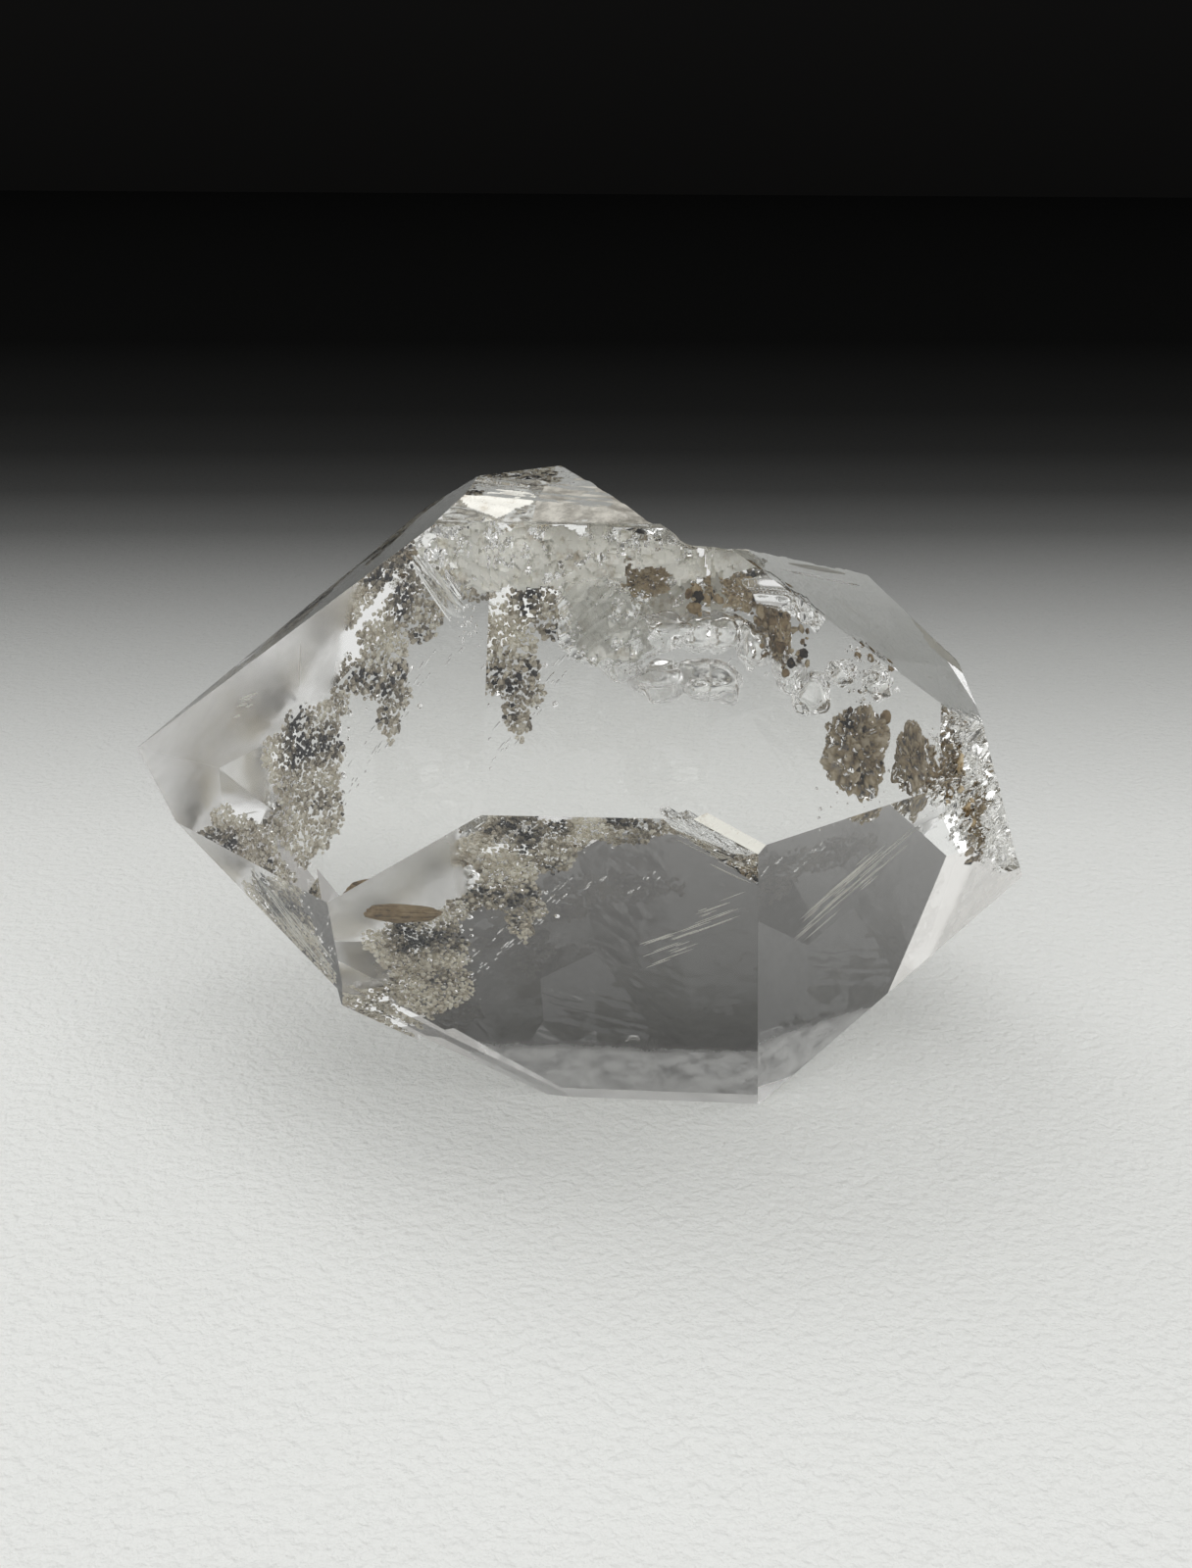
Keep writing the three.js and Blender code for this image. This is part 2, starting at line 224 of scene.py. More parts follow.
def inside_outline(x, y, outline):
    """Whether each point lies inside, by counting the sides that a line to its right crosses."""
    inside = np.zeros(np.shape(x), bool)
    corners = np.array(outline)
    for (x1, y1), (x2, y2) in zip(corners, np.roll(corners, -1, axis=0)):
        crosses = (y1 > y) != (y2 > y)
        rise = y2 - y1 if y2 != y1 else 1e-9
        inside ^= crosses & (x < x1 + (y - y1) * (x2 - x1) / rise)
    return inside


print("facet sample", broken_facets(SAMPLE, 1).round(3))

# %% [markdown]
# A height map needs a body before it can cut. The slab has one grid as its underside, the same
# grid moved outwards as its top, and a strip of walls round the rim. It is closed, so Blender's
# Boolean modifier can take it away from the crystal. Modelling each facet by hand would be
# another way, but a formula can be made coarser or finer by changing one number.

# %% Slabs that cut a broken surface
def grid_faces(rows, columns):
    """The four corners of each cell of a grid, anticlockwise."""
    first = (np.arange(rows - 1)[:, None] * columns + np.arange(columns - 1)).ravel()
    return np.stack([first, first + 1, first + columns + 1, first + columns], axis=1)


def height_slab(name, middle, normal, half_size, cells, height, thickness=4.0):
    """A closed slab whose underside is middle + u * level + v * slope + height(u, v) * normal,
    with u and v in mm, and whose top is the same grid moved out by thickness."""
    level, slope = tangents(normal)
    u, v = np.meshgrid(np.linspace(-half_size[0], half_size[0], cells[0]),
                       np.linspace(-half_size[1], half_size[1], cells[1]))
    base = middle + u[..., None] * level + v[..., None] * slope
    under = (base + height(u, v, base)[..., None] * normal).reshape(-1, 3)
    over = (base + thickness * normal).reshape(-1, 3)
    rows, columns = u.shape
    faces = grid_faces(rows, columns)
    count = rows * columns
    index = np.arange(count).reshape(rows, columns)
    rim = np.concatenate([index[0, :-1], index[:-1, -1], index[-1, :0:-1], index[:0:-1, 0]])
    ahead = np.roll(rim, -1)
    walls = np.stack([rim, ahead, ahead + count, rim + count], axis=1)
    polygons = np.concatenate([faces[:, ::-1], faces + count, walls])
    return mesh_object(name, np.concatenate([under, over]) * MM, polygons)


def carve(body, tool):
    """Cuts the tool out of the body, and throws the tool away."""
    step = body.modifiers.new("carve", "BOOLEAN")
    step.object = tool
    step.operation = "DIFFERENCE"
    step.solver = "MANIFOLD"
    graph = bpy.context.evaluated_depsgraph_get()
    result = bpy.data.meshes.new_from_object(body.evaluated_get(graph))
    body.modifiers.clear()
    old, body.data = body.data, result
    bpy.data.meshes.remove(old)
    bpy.data.objects.remove(tool)
    return body


print("a grid of 4 by 3 points has", len(grid_faces(4, 3)), "cells")

# %% [markdown]
# A material in Blender is a set of nodes and the links between them. Three helpers keep the
# next cells short: one starts a material, one makes a node and sets its inputs by their labels,
# and one gives the place on the object in millimetres. A pattern that reads this place stays
# put on the piece, and its scale can be read as a size.


# %% Helpers for materials
def new_material(name):
    """A material with its nodes and its links, to fill in."""
    material = bpy.data.materials.new(name)
    material.use_nodes = True
    return material, material.node_tree.nodes, material.node_tree.links


def node(nodes, kind, **values):
    """A new node. A value goes to the input with its label, where an underscore stands for a
    space, or else to the node's attribute with its name."""
    made = nodes.new(kind)
    for key, value in values.items():
        label = key.replace("_", " ")
        if label in made.inputs:
            made.inputs[label].default_value = value
        else:
            setattr(made, key, value)
    return made


def object_pattern(nodes, links, turn=(0, 0, 0)):
    """Object coordinates in millimetres, turned by a Mapping node."""
    place = node(nodes, "ShaderNodeTexCoord")
    mapping = node(nodes, "ShaderNodeMapping", Rotation=[np.radians(a) for a in turn],
                   Scale=[1 / MM] * 3)
    links.new(place.outputs["Object"], mapping.inputs["Vector"])
    return mapping.outputs["Vector"]


print("helpers for materials are ready")

# %% [markdown]
# No finish on the crystal is even: wear comes and goes in patches, and haze ends softly some way
# along a face. Both are shader node groups with named inputs and outputs. Each is built once and
# placed in every material that needs it, with that material's own values. Only values come out
# of them, so the Principled shader stays in the material, where the reader can see its settings.


# %% The patchy value
def shader_group(name, inputs, outputs):
    """A node group with named sockets: inputs are (label, kind, value), outputs (label, kind).
    Also gives what comes into the group and where its results go."""
    group = bpy.data.node_groups.new(name, "ShaderNodeTree")
    for label, kind, value in inputs:
        socket = group.interface.new_socket(label, in_out="INPUT",
                                            socket_type="NodeSocket" + kind)
        if value is not None:
            socket.default_value = value
    for label, kind in outputs:
        group.interface.new_socket(label, in_out="OUTPUT", socket_type="NodeSocket" + kind)
    given = group.nodes.new("NodeGroupInput").outputs
    made = group.nodes.new("NodeGroupOutput").inputs
    return group, given, made


def patchy_group():
    """Layered noise of a place, and the same noise stretched from its edges to a low and a high
    value: low + (high - low) * (noise - lower edge) / (upper edge - lower edge)."""
    group, given, made = shader_group(
        "patchy_value",
        [("Vector", "Vector", None), ("Scale", "Float", 1.3), ("Detail", "Float", 5.0),
         ("Coarseness", "Float", 0.7), ("Lower Edge", "Float", 0.35), ("Upper Edge", "Float", 0.75),
         ("Low", "Float", 0.0), ("High", "Float", 1.0)],
        [("Pattern", "Float"), ("Value", "Float")])
    noise = group.nodes.new("ShaderNodeTexNoise")
    for label, target in (("Vector", "Vector"), ("Scale", "Scale"), ("Detail", "Detail"),
                          ("Coarseness", "Roughness")):
        group.links.new(given[label], noise.inputs[target])
    stretch = group.nodes.new("ShaderNodeMapRange")
    group.links.new(noise.outputs["Fac"], stretch.inputs["Value"])
    for label, target in (("Lower Edge", "From Min"), ("Upper Edge", "From Max"),
                          ("Low", "To Min"), ("High", "To Max")):
        group.links.new(given[label], stretch.inputs[target])
    group.links.new(noise.outputs["Fac"], made["Pattern"])
    group.links.new(stretch.outputs["Result"], made["Value"])
    return group


PATCHY = patchy_group()
print("group", PATCHY.name, "has", len(PATCHY.nodes), "nodes")

# %% [markdown]
# The second group fades anything out along a direction. A Color Ramp could do it for one axis,
# but a dot product with a direction serves all of them, and a smooth step has no visible edge.


# %% The soft end of haze
def fade_group():
    """1 up to start and 0 from end on, smoothly in between, where the place along the direction
    is the dot product of the two."""
    group, given, made = shader_group(
        "fade_along",
        [("Vector", "Vector", None), ("Direction", "Vector", (1.0, 0.0, 0.0)),
         ("Start", "Float", 0.0), ("End", "Float", 1.0)],
        [("Share", "Float")])
    along_it = group.nodes.new("ShaderNodeVectorMath")
    along_it.operation = "DOT_PRODUCT"
    group.links.new(given["Vector"], along_it.inputs[0])
    group.links.new(given["Direction"], along_it.inputs[1])
    ease = group.nodes.new("ShaderNodeMapRange")
    ease.interpolation_type = "SMOOTHSTEP"
    ease.inputs["To Min"].default_value = 1.0
    ease.inputs["To Max"].default_value = 0.0
    group.links.new(along_it.outputs["Value"], ease.inputs["Value"])
    group.links.new(given["Start"], ease.inputs["From Min"])
    group.links.new(given["End"], ease.inputs["From Max"])
    group.links.new(ease.outputs["Result"], made["Share"])
    return group


FADE = fade_group()
print("group", FADE.name, "has", len(FADE.nodes), "nodes")


def placed(nodes, links, group, where, **values):
    """A group placed in a material, reading the place it is given, with values set by label."""
    made = nodes.new("ShaderNodeGroup")
    made.node_tree = group
    links.new(where, made.inputs["Vector"])
    for key, value in values.items():
        made.inputs[key.replace("_", " ")].default_value = value
    return made


# %% [markdown]
# The growth faces are as clear as glass, and fresh breaks are glassy but wavy. Strips along the
# crest and the right edge are painted cream and nearly opaque: a painted highlight, and on the
# scratches the white of real wear. Between these come frost and dust on the cracks and the crest,
# a painted highlight of cream frost on one crest facet and one edge face, silky walls of the empty
# cavities, an etched strip low on the back, and haze on three faces at the back that ends softly.
# Glass in Blender is the Principled shader with its transmission at 1 and the index of refraction
# of quartz, 1.544. The ten finishes differ in tint, roughness, clearness, dark patches and where
# they end, so one function makes them all.

# %% The finishes of the quartz
QUARTZ_IOR = 1.544
DIRECTIONS = {"X": (1.0, 0.0, 0.0), "-X": (-1.0, 0.0, 0.0), "Z": (0.0, 0.0, 1.0)}
# A Mix node has sockets for numbers, vectors and colours; these are the ones for colours.
COLOUR_A, COLOUR_B, COLOUR_OUT = 6, 7, 2


def quartz_finish(name, tint, roughness, clearness=1.0, dark=None, dark_edges=(0.32, 0.47),
                  limits=()):
    """Quartz with a tint and a stretch of roughness that follows a noise. One with a dark colour
    also has patches of it. A limit is (direction, start, end) in mm: the roughness is multiplied
    by a share that falls from 1 to 0 between start and end."""
    material, nodes, links = new_material(name)
    shader = nodes["Principled BSDF"]
    shader.inputs["Base Color"].default_value = (*tint, 1)
    shader.inputs["IOR"].default_value = QUARTZ_IOR
    shader.inputs["Transmission Weight"].default_value = clearness
    where = object_pattern(nodes, links)
    wear = placed(nodes, links, PATCHY, where, Low=roughness[0], High=roughness[1])
    rough = wear.outputs["Value"]
    for axis, start, end in limits:
        fade = placed(nodes, links, FADE, where, Direction=DIRECTIONS[axis], Start=start, End=end)
        product = node(nodes, "ShaderNodeMath", operation="MULTIPLY")
        links.new(rough, product.inputs[0])
        links.new(fade.outputs["Share"], product.inputs[1])
        rough = product.outputs["Value"]
    links.new(rough, shader.inputs["Roughness"])
    if dark:
        patches = placed(nodes, links, PATCHY, where, Scale=1.5, Detail=6.0, Coarseness=0.75,
                         Lower_Edge=dark_edges[0], Upper_Edge=dark_edges[1])
        blend = node(nodes, "ShaderNodeMix", data_type="RGBA")
        links.new(patches.outputs["Value"], blend.inputs["Factor"])
        blend.inputs[COLOUR_A].default_value = (*dark, 1)
        blend.inputs[COLOUR_B].default_value = (*tint, 1)
        links.new(blend.outputs[COLOUR_OUT], shader.inputs["Base Color"])
    return material


CLEAR = quartz_finish("clear_quartz", (0.985, 0.99, 0.985), (0.0, 0.004))
BROKEN = quartz_finish("broken_quartz", (0.97, 0.97, 0.94), (0.03, 0.2))
# Cream and nearly opaque: a painted highlight on the glints and the strip under the upper right end
# face, and the white of real wear on the scratches and a needle.
WORN_AND_HIGHLIGHT = quartz_finish("worn_and_highlight_quartz", (1.0, 0.98, 0.91), (0.3, 0.6), clearness=0.15)
HAZY = quartz_finish("hazy_quartz", (0.96, 0.925, 0.86), (0.3, 0.55),
                     limits=[("X", -8.2, -7.0)])
# Real frost on the cracks, and a painted highlight on the crest's cream facet and the corner edge
# face.
FROST_AND_HIGHLIGHT = quartz_finish("frost_and_highlight_quartz", (1.0, 0.985, 0.91), (0.2, 0.5), clearness=0.1,
                        dark=(0.62, 0.55, 0.44))
DUSTY = quartz_finish("dusty_quartz", (0.68, 0.65, 0.58), (0.35, 0.6), clearness=0.3,
                      dark=(0.3, 0.28, 0.24), dark_edges=(0.42, 0.6))
SILKY = quartz_finish("silky_quartz", (0.99, 0.99, 0.98), (0.2, 0.45))
ETCHED = quartz_finish("etched_quartz", (0.99, 0.99, 0.975), (0.35, 0.85),
                       limits=[("Z", 1.9, 2.8)])
MISTY = quartz_finish("misty_quartz", (0.96, 0.935, 0.88), (0.3, 0.5),
                      limits=[("X", -5.1, -4.3)])
CLOUDED = quartz_finish("clouded_quartz", (0.98, 0.965, 0.93), (0.2, 0.42),
                        limits=[("-X", -10.6, -9.6)])
FINISHES = (CLEAR, BROKEN, WORN_AND_HIGHLIGHT, HAZY, FROST_AND_HIGHLIGHT, DUSTY, SILKY, ETCHED, MISTY, CLOUDED)
(CLEAR_SLOT, BROKEN_SLOT, WORN_AND_HIGHLIGHT_SLOT, HAZY_SLOT, FROST_AND_HIGHLIGHT_SLOT, DUSTY_SLOT, SILKY_SLOT,
 ETCHED_SLOT, MISTY_SLOT, CLOUDED_SLOT) = range(len(FINISHES))
print("finishes:", [finish.name for finish in FINISHES])

# %% [markdown]
# An object can hold many materials, and every polygon has the number of the one that it shows.
# A Boolean modifier keeps these numbers. So each tool is painted before it cuts, and the wall
# that it leaves in the crystal has the tool's finish. The growth faces that aren't clear are
# painted by their plane.

# %% Paint the crystal
# A polygon is on a growth face when its middle is this near to the plane, in metres, and the
# cosine between their directions is more than this.
ON_FACE, FACING = 1e-5, 0.99


def paint_all(obj, slot_index):
    """Gives an object all the quartz finishes and sets every face to one of them."""
    for finish in FINISHES:
        obj.data.materials.append(finish)
    faces = obj.data.polygons
    faces.foreach_set("material_index", np.full(len(faces), slot_index, dtype=np.int32))


def paint_face(obj, face, slot_index):
    """Gives every polygon that lies on a face's plane the finish of a slot."""
    normal, distance = plane_of(FACES[face])
    for polygon in obj.data.polygons:
        on_plane = abs(polygon.center @ Vector(normal) - distance) < ON_FACE
        if on_plane and polygon.normal @ Vector(normal) > FACING:
            polygon.material_index = slot_index


paint_all(crystal, CLEAR_SLOT)
# The corner edge face is frosted cream as a painted highlight.
FACE_SLOTS = {"left_upper_back": MISTY_SLOT, "left_lower_back": HAZY_SLOT,
              "corner_edge": FROST_AND_HIGHLIGHT_SLOT, "prism_lower_back": ETCHED_SLOT,
              "right_lower_back": CLOUDED_SLOT}
for face, slot_index in FACE_SLOTS.items():
    paint_face(crystal, face, slot_index)
print("painted faces:", list(FACE_SLOTS))

# %% [markdown]
# One face isn't a single plane: its middle band stands proud by half a millimetre or so, as
# growth layers do when they stop short of an edge. The steps are cut with flat blocks, which are
# solids from faces like the crystal itself.

# %% Ledges of the lower left face
ROOM = 40.0  # half the width of a block, in mm, which is more than the crystal's
LEDGE_REACH = 3.0  # how far a block stands out of the face, in mm


def ledge_block(distance, start, end):
    """The space outside the lower left face moved in to distance, between two places on X."""
    turn, lean, _ = FACES["left_bottom"]
    normal = face_normal(turn, lean)
    along = np.array([1.0, 0.0, 0.0])
    across = np.array([0.0, 1.0, 0.0])
    planes = [(-normal, -distance), (normal, distance + LEDGE_REACH),
              (along, end), (-along, -start), (across, ROOM), (-across, ROOM)]
    return solid_inside("ledge", [(n, d * MM) for n, d in planes])


for ledge in LOWER_LEDGES:
    block = ledge_block(*ledge)
    paint_all(block, CLEAR_SLOT)
    crystal = carve(crystal, block)
print("after the ledges:", len(crystal.data.polygons), "faces")

# %% [markdown]
# The crest behind the upper front face isn't a plain flat top: a lip runs along the front, then
# a groove, then a facet that rises to a striated ridge, and the right side falls away. The facet
# is painted with cream frost, a painted highlight. Each of these is a tilted plane, and the
# surface is the lowest of the ridge's planes or the bottom of the groove, whichever is higher.


# %% The crest
TOP = 20.93
# Heights above the ideal top, in mm: the highest part of the ridge, and the groove's bottom.
CROWN, GROOVE = 0.03, -0.46
# The Y at which the lip starts to fall, and the Y at which it ends.
LIP_START, LIP_END = -7.75, -6.7


def plane_height(face, base, outward):
    """How far a face lies above the base points, along the slab's own outward direction."""
    normal, distance = plane_of(face)
    return (distance / MM - base @ normal) / (normal @ outward)


def crest_height(u, v, base):
    """Lip, groove, rising facet and ridge, in mm from the ideal top, with striations that run
    slantwise and small stepped facets."""
    x, y = base[..., 0], base[..., 1]
    lip = -0.42 * (y - LIP_START)
    rise = -0.02 + 0.3 * (y + 4.7) + 0.1 * (x + 2.4)
    fall = -0.25 * (x - 1.4)
    ridge = np.minimum(np.minimum(rise, fall), CROWN)
    height = np.where(y < LIP_END, lip, np.maximum(ridge, GROOVE))
    slant = np.stack([0.9 * x + 2.4 * y, 0.35 * x - 0.2 * y], axis=-1)
    steps = 0.10 * broken_facets(slant, 4, tilt=0.5, step=0.7)
    lumps = 0.05 * value_noise(np.stack([x, y], axis=-1) * 1.6, 7)
    rough = np.clip((y + 7.3) / 0.8, 0, 1) * np.clip((-1.2 - y) / 1.5, 0, 1)
    return height + rough * (lumps - steps)


crest_slab = height_slab("crest_slab", np.array([0.6, -4.0, TOP]), np.array([0.0, 0.0, 1.0]),
                         (6.5, 4.4), (150, 110), crest_height)
paint_all(crest_slab, BROKEN_SLOT)


def paint_where(obj, slot_index, chosen):
    """Gives the polygons whose middle, in mm, the formula chooses the finish of a slot."""
    faces = obj.data.polygons
    middles = np.empty(len(faces) * 3)
    faces.foreach_get("center", middles)
    slots = np.empty(len(faces), dtype=np.int32)
    faces.foreach_get("material_index", slots)
    slots[chosen(middles.reshape(-1, 3) / MM)] = slot_index
    faces.foreach_set("material_index", slots)


def dusty_band(p):
    """A band along the front of the top with a back edge that wanders by a noise."""
    back = -1.6 + 2.6 * value_noise(p[:, :2] * 0.7, 19)
    patchy = value_noise(p * 1.8, 23, layers=4, fade=0.7) > 0.0
    return ((p[:, 1] > -6.4) | patchy) & (p[:, 1] < back)


# The outline of the crest facet that is frosted cream as a painted highlight.
CREAM_HIGHLIGHT_FACET = [(-3.3, -4.6), (-2.6, -3.4), (-1.1, -3.9), (-1.0, -5.0), (-2.0, -5.9),
               (-2.9, -5.2)]
paint_where(crest_slab, DUSTY_SLOT, lambda p: (p[:, 0] > -0.9) & dusty_band(p))
paint_where(crest_slab, FROST_AND_HIGHLIGHT_SLOT, lambda p: inside_outline(p[:, 0], p[:, 1], CREAM_HIGHLIGHT_FACET))
crystal = carve(crystal, crest_slab)
print("after the crest:", len(crystal.data.polygons), "faces")

# %% [markdown]
# Right of the crest a piece has broken off, along two planes that meet in an inner corner. What
# lies outside of both is gone, so the surface is the higher of the two. The slab is laid
# squarely between them, and the same formula serves the broken right end.


# %% The break right of the crest
def between(face_a, face_b, near):
    """The middle direction of two faces, and the point on both of them that is nearest."""
    (normal_a, distance_a), (normal_b, distance_b) = plane_of(face_a), plane_of(face_b)
    outward = normal_a + normal_b
    outward = outward / np.linalg.norm(outward)
    both = np.array([normal_a, normal_b])
    miss = np.array([distance_a, distance_b]) / MM - both @ near
    return near + np.linalg.lstsq(both, miss, rcond=None)[0], outward


def break_height(pair, outward, roughness):
    """The higher of the pair's two planes, with stepped facets and waves of the given size."""
    def height(u, v, base):
        """The surface over the slab's grid, in mm along its outward direction."""
        higher = np.maximum(plane_height(pair[0], base, outward),
                            plane_height(pair[1], base, outward))
        flat = np.stack([u, v], axis=-1)
        steps = broken_facets(flat * roughness["facets_per_mm"], roughness["seed"],
                              tilt=roughness["tilt"], step=roughness["step"])
        waves = value_noise(flat * 0.8, roughness["seed"] + 3)
        ledges = roughness["size"] * (steps - roughness["step"] / 2)
        return higher + ledges + roughness["wave"] * waves
    return height


crest_rough = {"facets_per_mm": 1.1, "seed": 11, "tilt": 0.4, "step": 0.5,
               "size": 0.12, "wave": 0.06}
middle, outward = between(*CREST_BREAK, np.array([6.0, -3.0, 18.5]))
slab = height_slab("crest_break_slab", middle, outward, (14.0, 12.0), (200, 170),
                   break_height(CREST_BREAK, outward, crest_rough), thickness=12.0)
paint_all(slab, BROKEN_SLOT)
paint_where(slab, DUSTY_SLOT, dusty_band)
crystal = carve(crystal, slab)
print("after the break:", len(crystal.data.polygons), "faces")

# %% [markdown]
# The right end is snapped off and overgrown with a crust of tiny crystals. Each could be a small
# solid of its own, but at this size only their glitter shows, so the end gets the same kind of
# slab with smaller and steeper facets.

# %% The broken right end
end_rough = {"facets_per_mm": 3.2, "seed": 23, "tilt": 1.6, "step": 1.0,
             "size": 0.22, "wave": 0.12}
middle, outward = between(*END_BREAK, np.array([12.9, -2.6, 12.5]))
slab = height_slab("end_slab", middle, outward, (4.5, 6.0), (150, 190),
                   break_height(END_BREAK, outward, end_rough), thickness=9.0)
paint_all(slab, BROKEN_SLOT)
crystal = carve(crystal, slab)
print("after the breaks:", len(crystal.data.polygons), "faces")

# %% [markdown]
# Inside the crystal are cavities with clay in them, a healed crack full of grains, and open
# cracks that shine like silver, because light that meets a gap at a slant is reflected fully.
# All of these are built from two closed forms: a lumpy ball, given by its direction from the
# middle, and a thin sheet, which is the part of a grid that lies inside an outline.


# %% Lumpy balls
def ball_grid(rings, spokes):
    """Directions of a ball as rings from pole to pole, and its faces: four-sided between two
    rings, three-sided round a pole."""
    down, around = np.meshgrid(np.linspace(0, np.pi, rings + 1)[1:-1],
                               np.arange(spokes) * 2 * np.pi / spokes, indexing="ij")
    level = np.sin(down)
    ring = np.stack([level * np.cos(around), level * np.sin(around), np.cos(down)], axis=-1)
    directions = np.concatenate([ring.reshape(-1, 3), [[0, 0, 1], [0, 0, -1]]])
    index = np.arange((rings - 1) * spokes).reshape(rings - 1, spokes)
    ahead = np.roll(index, -1, axis=1)
    sides = np.stack([index[:-1], index[1:], ahead[1:], ahead[:-1]], axis=-1).reshape(-1, 4)
    top, bottom = index.size, index.size + 1
    caps = [(top, a, b) for a, b in zip(index[0], ahead[0])]
    caps += [(bottom, b, a) for a, b in zip(index[-1], ahead[-1])]
    return directions, sides.tolist() + caps


def lumpy_ball(name, middle, radii, seed, bump, waves, size=(40, 56), layers=4, fade=0.5):
    """A ball whose distance from its middle is the radius, times one plus layered noise of the
    direction."""
    directions, faces = ball_grid(*size)
    swell = 1 + bump * value_noise(directions * waves + 7.1 * seed, seed, layers=layers, fade=fade)
    points = np.array(middle) + directions * (np.array(radii) * swell[:, None])
    return mesh_object(name, points * MM, faces)


print("the smallest ball has", len(ball_grid(3, 5)[1]), "faces")

# %% [markdown]
# The cavities form a chain from the ridge down to the broken end. Each is cut out of the quartz,
# so that its wall is a real surface: seen through the face in front, a steep wall turns silver.
# A cavity with clay is hardly larger than its clay, and in places the clay fills it.

# %% Where the clay lies
# Middle and radii in mm. A trail is a line in X and Z that crumbs are strewn along.
CLAY = {
    "large_clay_clump": {"at": (8.32, -6.26, 13.67), "radii": (1.03, 0.7, 1.2), "seed": 3},
    "small_clay_clump": {"at": (10.26, -5.43, 13.05), "radii": (0.62, 0.55, 1.05), "seed": 8},
    "drip_clay": {"at": (5.9, -6.4, 17.4), "radii": (0.45, 0.4, 1.0), "seed": 13,
                  "trail": ((5.5, 18.3), (6.9, 16.5)), "stray": 0.9},
    "top_clay_clump": {"at": (4.85, -6.6, 18.6), "radii": (0.6, 0.4, 0.48), "seed": 21,
                       "trail": ((3.8, 19.1), (4.2, 18.4)), "stray": 0.25, "count": 12},
    "ridge_clay": {"at": (2.51, -6.1, 18.65), "radii": (0.65, 0.45, 0.5), "seed": 34},
    "upper_end_clay": {"at": (11.75, -4.3, 13.0), "radii": (0.38, 0.35, 0.7), "seed": 55,
                       "trail": ((11.0, 12.6), (12.0, 12.1)), "stray": 0.8},
    "lower_end_clay": {"at": (12.6, -2.15, 10.4), "radii": (0.45, 0.38, 0.75), "seed": 89,
                       "trail": ((12.55, 11.3), (13.1, 8.5)), "stray": 0.5,
                       "trail_face": "right_lower_front"},
}
print(len(CLAY), "lumps of clay")

# %% [markdown]
# From the front, things inside the crystal are easiest to place by X and Z and a depth below the
# face that lies over them. One formula turns that into a point. Another tells how deep any point
# lies, so that small things that would stick out of the crystal can be dropped.

# %% Places under the faces
FRONT_FACES = ("prism_upper_front", "left_upper_front", "right_upper_front")


def under_face(face, x, z, depth):
    """Points at the given X and Z whose distance below a face is depth."""
    x, z = np.broadcast_arrays(np.asarray(x, float), np.asarray(z, float))
    normal, distance = plane_of(FACES[face])
    y = (distance / MM - depth - normal[0] * x - normal[2] * z) / normal[1]
    return np.stack([x, y, z], axis=-1)


def under_front(x, z, depth):
    """Points below whichever front face lies over them: the one that asks for the largest Y."""
    points = np.array([under_face(face, x, z, depth) for face in FRONT_FACES])
    return points[0] * [1, 0, 1] + np.max(points, axis=0) * [0, 1, 0]


def under_back(x, z, depth):
    """Points below the lower back face."""
    return under_face("prism_lower_back", x, z, depth)


def depth_inside(points):
    """How deep points lie in the crystal, in mm: the least of distance - direction . point over
    the growth faces and the breaks, where a break counts by the deeper of its two planes. The
    ledges and the relief of the crest and the breaks aren't counted."""
    def below(face):
        """How far inside one face the points lie."""
        normal, distance = plane_of(face)
        return distance / MM - points @ normal
    depths = [below(face) for face in FACES.values()]
    depths += [np.maximum(below(pair[0]), below(pair[1])) for pair in (CREST_BREAK, END_BREAK)]
    return np.min(depths, axis=0)


clay_depths = depth_inside(np.array([lump["at"] for lump in CLAY.values()]))
print("depth of the clay, mm:", clay_depths.round(2))

# %% [markdown]
# A cavity and its clay share the coarse bulges, so the clay seems to have filled a hollow that
# the crystal grew round. The empty lobes are rounder, and patches of their walls are silky
# and others clear.

# %% Cavities round the clay, and empty ones
# Lobes of the empty cavities: X, Z, depth of the middle, and radii.
LOBES = (
    (1.9, 16.9, 1.4, (0.7, 0.6, 0.5)), (3.0, 16.45, 1.5, (0.8, 0.65, 0.55)),
    (4.2, 16.4, 1.5, (0.85, 0.65, 0.6)), (5.2, 17.1, 1.5, (0.6, 0.6, 0.7)),
    (2.9, 17.55, 1.7, (1.0, 0.5, 0.65)), (4.3, 17.5, 1.8, (0.9, 0.6, 0.6)),
    (6.2, 16.2, 1.5, (0.6, 0.5, 0.6)), (7.0, 15.5, 1.4, (0.65, 0.6, 0.6)),
    (7.9, 15.9, 1.3, (0.55, 0.5, 0.45)), (9.0, 15.4, 1.3, (0.6, 0.5, 0.5)),
)
# The height of the bulges that a lump of clay shares with its cavity, and how close they are,
# and the same for the lobes.
COARSE, COARSE_WAVES = 0.75, 1.9
LOBE_BULGES, LOBE_WAVES = 0.4, 1.5
for lump in CLAY.values():
    cavity = lumpy_ball("cavity", lump["at"], lump["radii"], lump["seed"], COARSE, COARSE_WAVES,
                        size=(32, 44), layers=3)
    paint_all(cavity, BROKEN_SLOT)
    crystal = carve(crystal, cavity)
for number, (x, z, depth, radii) in enumerate(LOBES):
    cavity = lumpy_ball("cavity", under_front(x, z, depth), radii, 60 + number, LOBE_BULGES,
                        LOBE_WAVES, layers=2, size=(34, 46), fade=0.25)
    paint_all(cavity, SILKY_SLOT)
    paint_where(cavity, CLEAR_SLOT, lambda p: value_noise(p * 1.4, 29, layers=2) > 0.0)
    crystal = carve(crystal, cavity)
print("after the cavities:", len(crystal.data.polygons), "faces")

# %% [markdown]
# Grains, bubbles, crumbs and scratches come in hundreds. An object for each would be slow, and
# the crystal's own hollows have to be part of its mesh. So one small ball is repeated as whole
# arrays, each copy stretched by its own radii, turned and moved, and all of them go into one
# mesh.


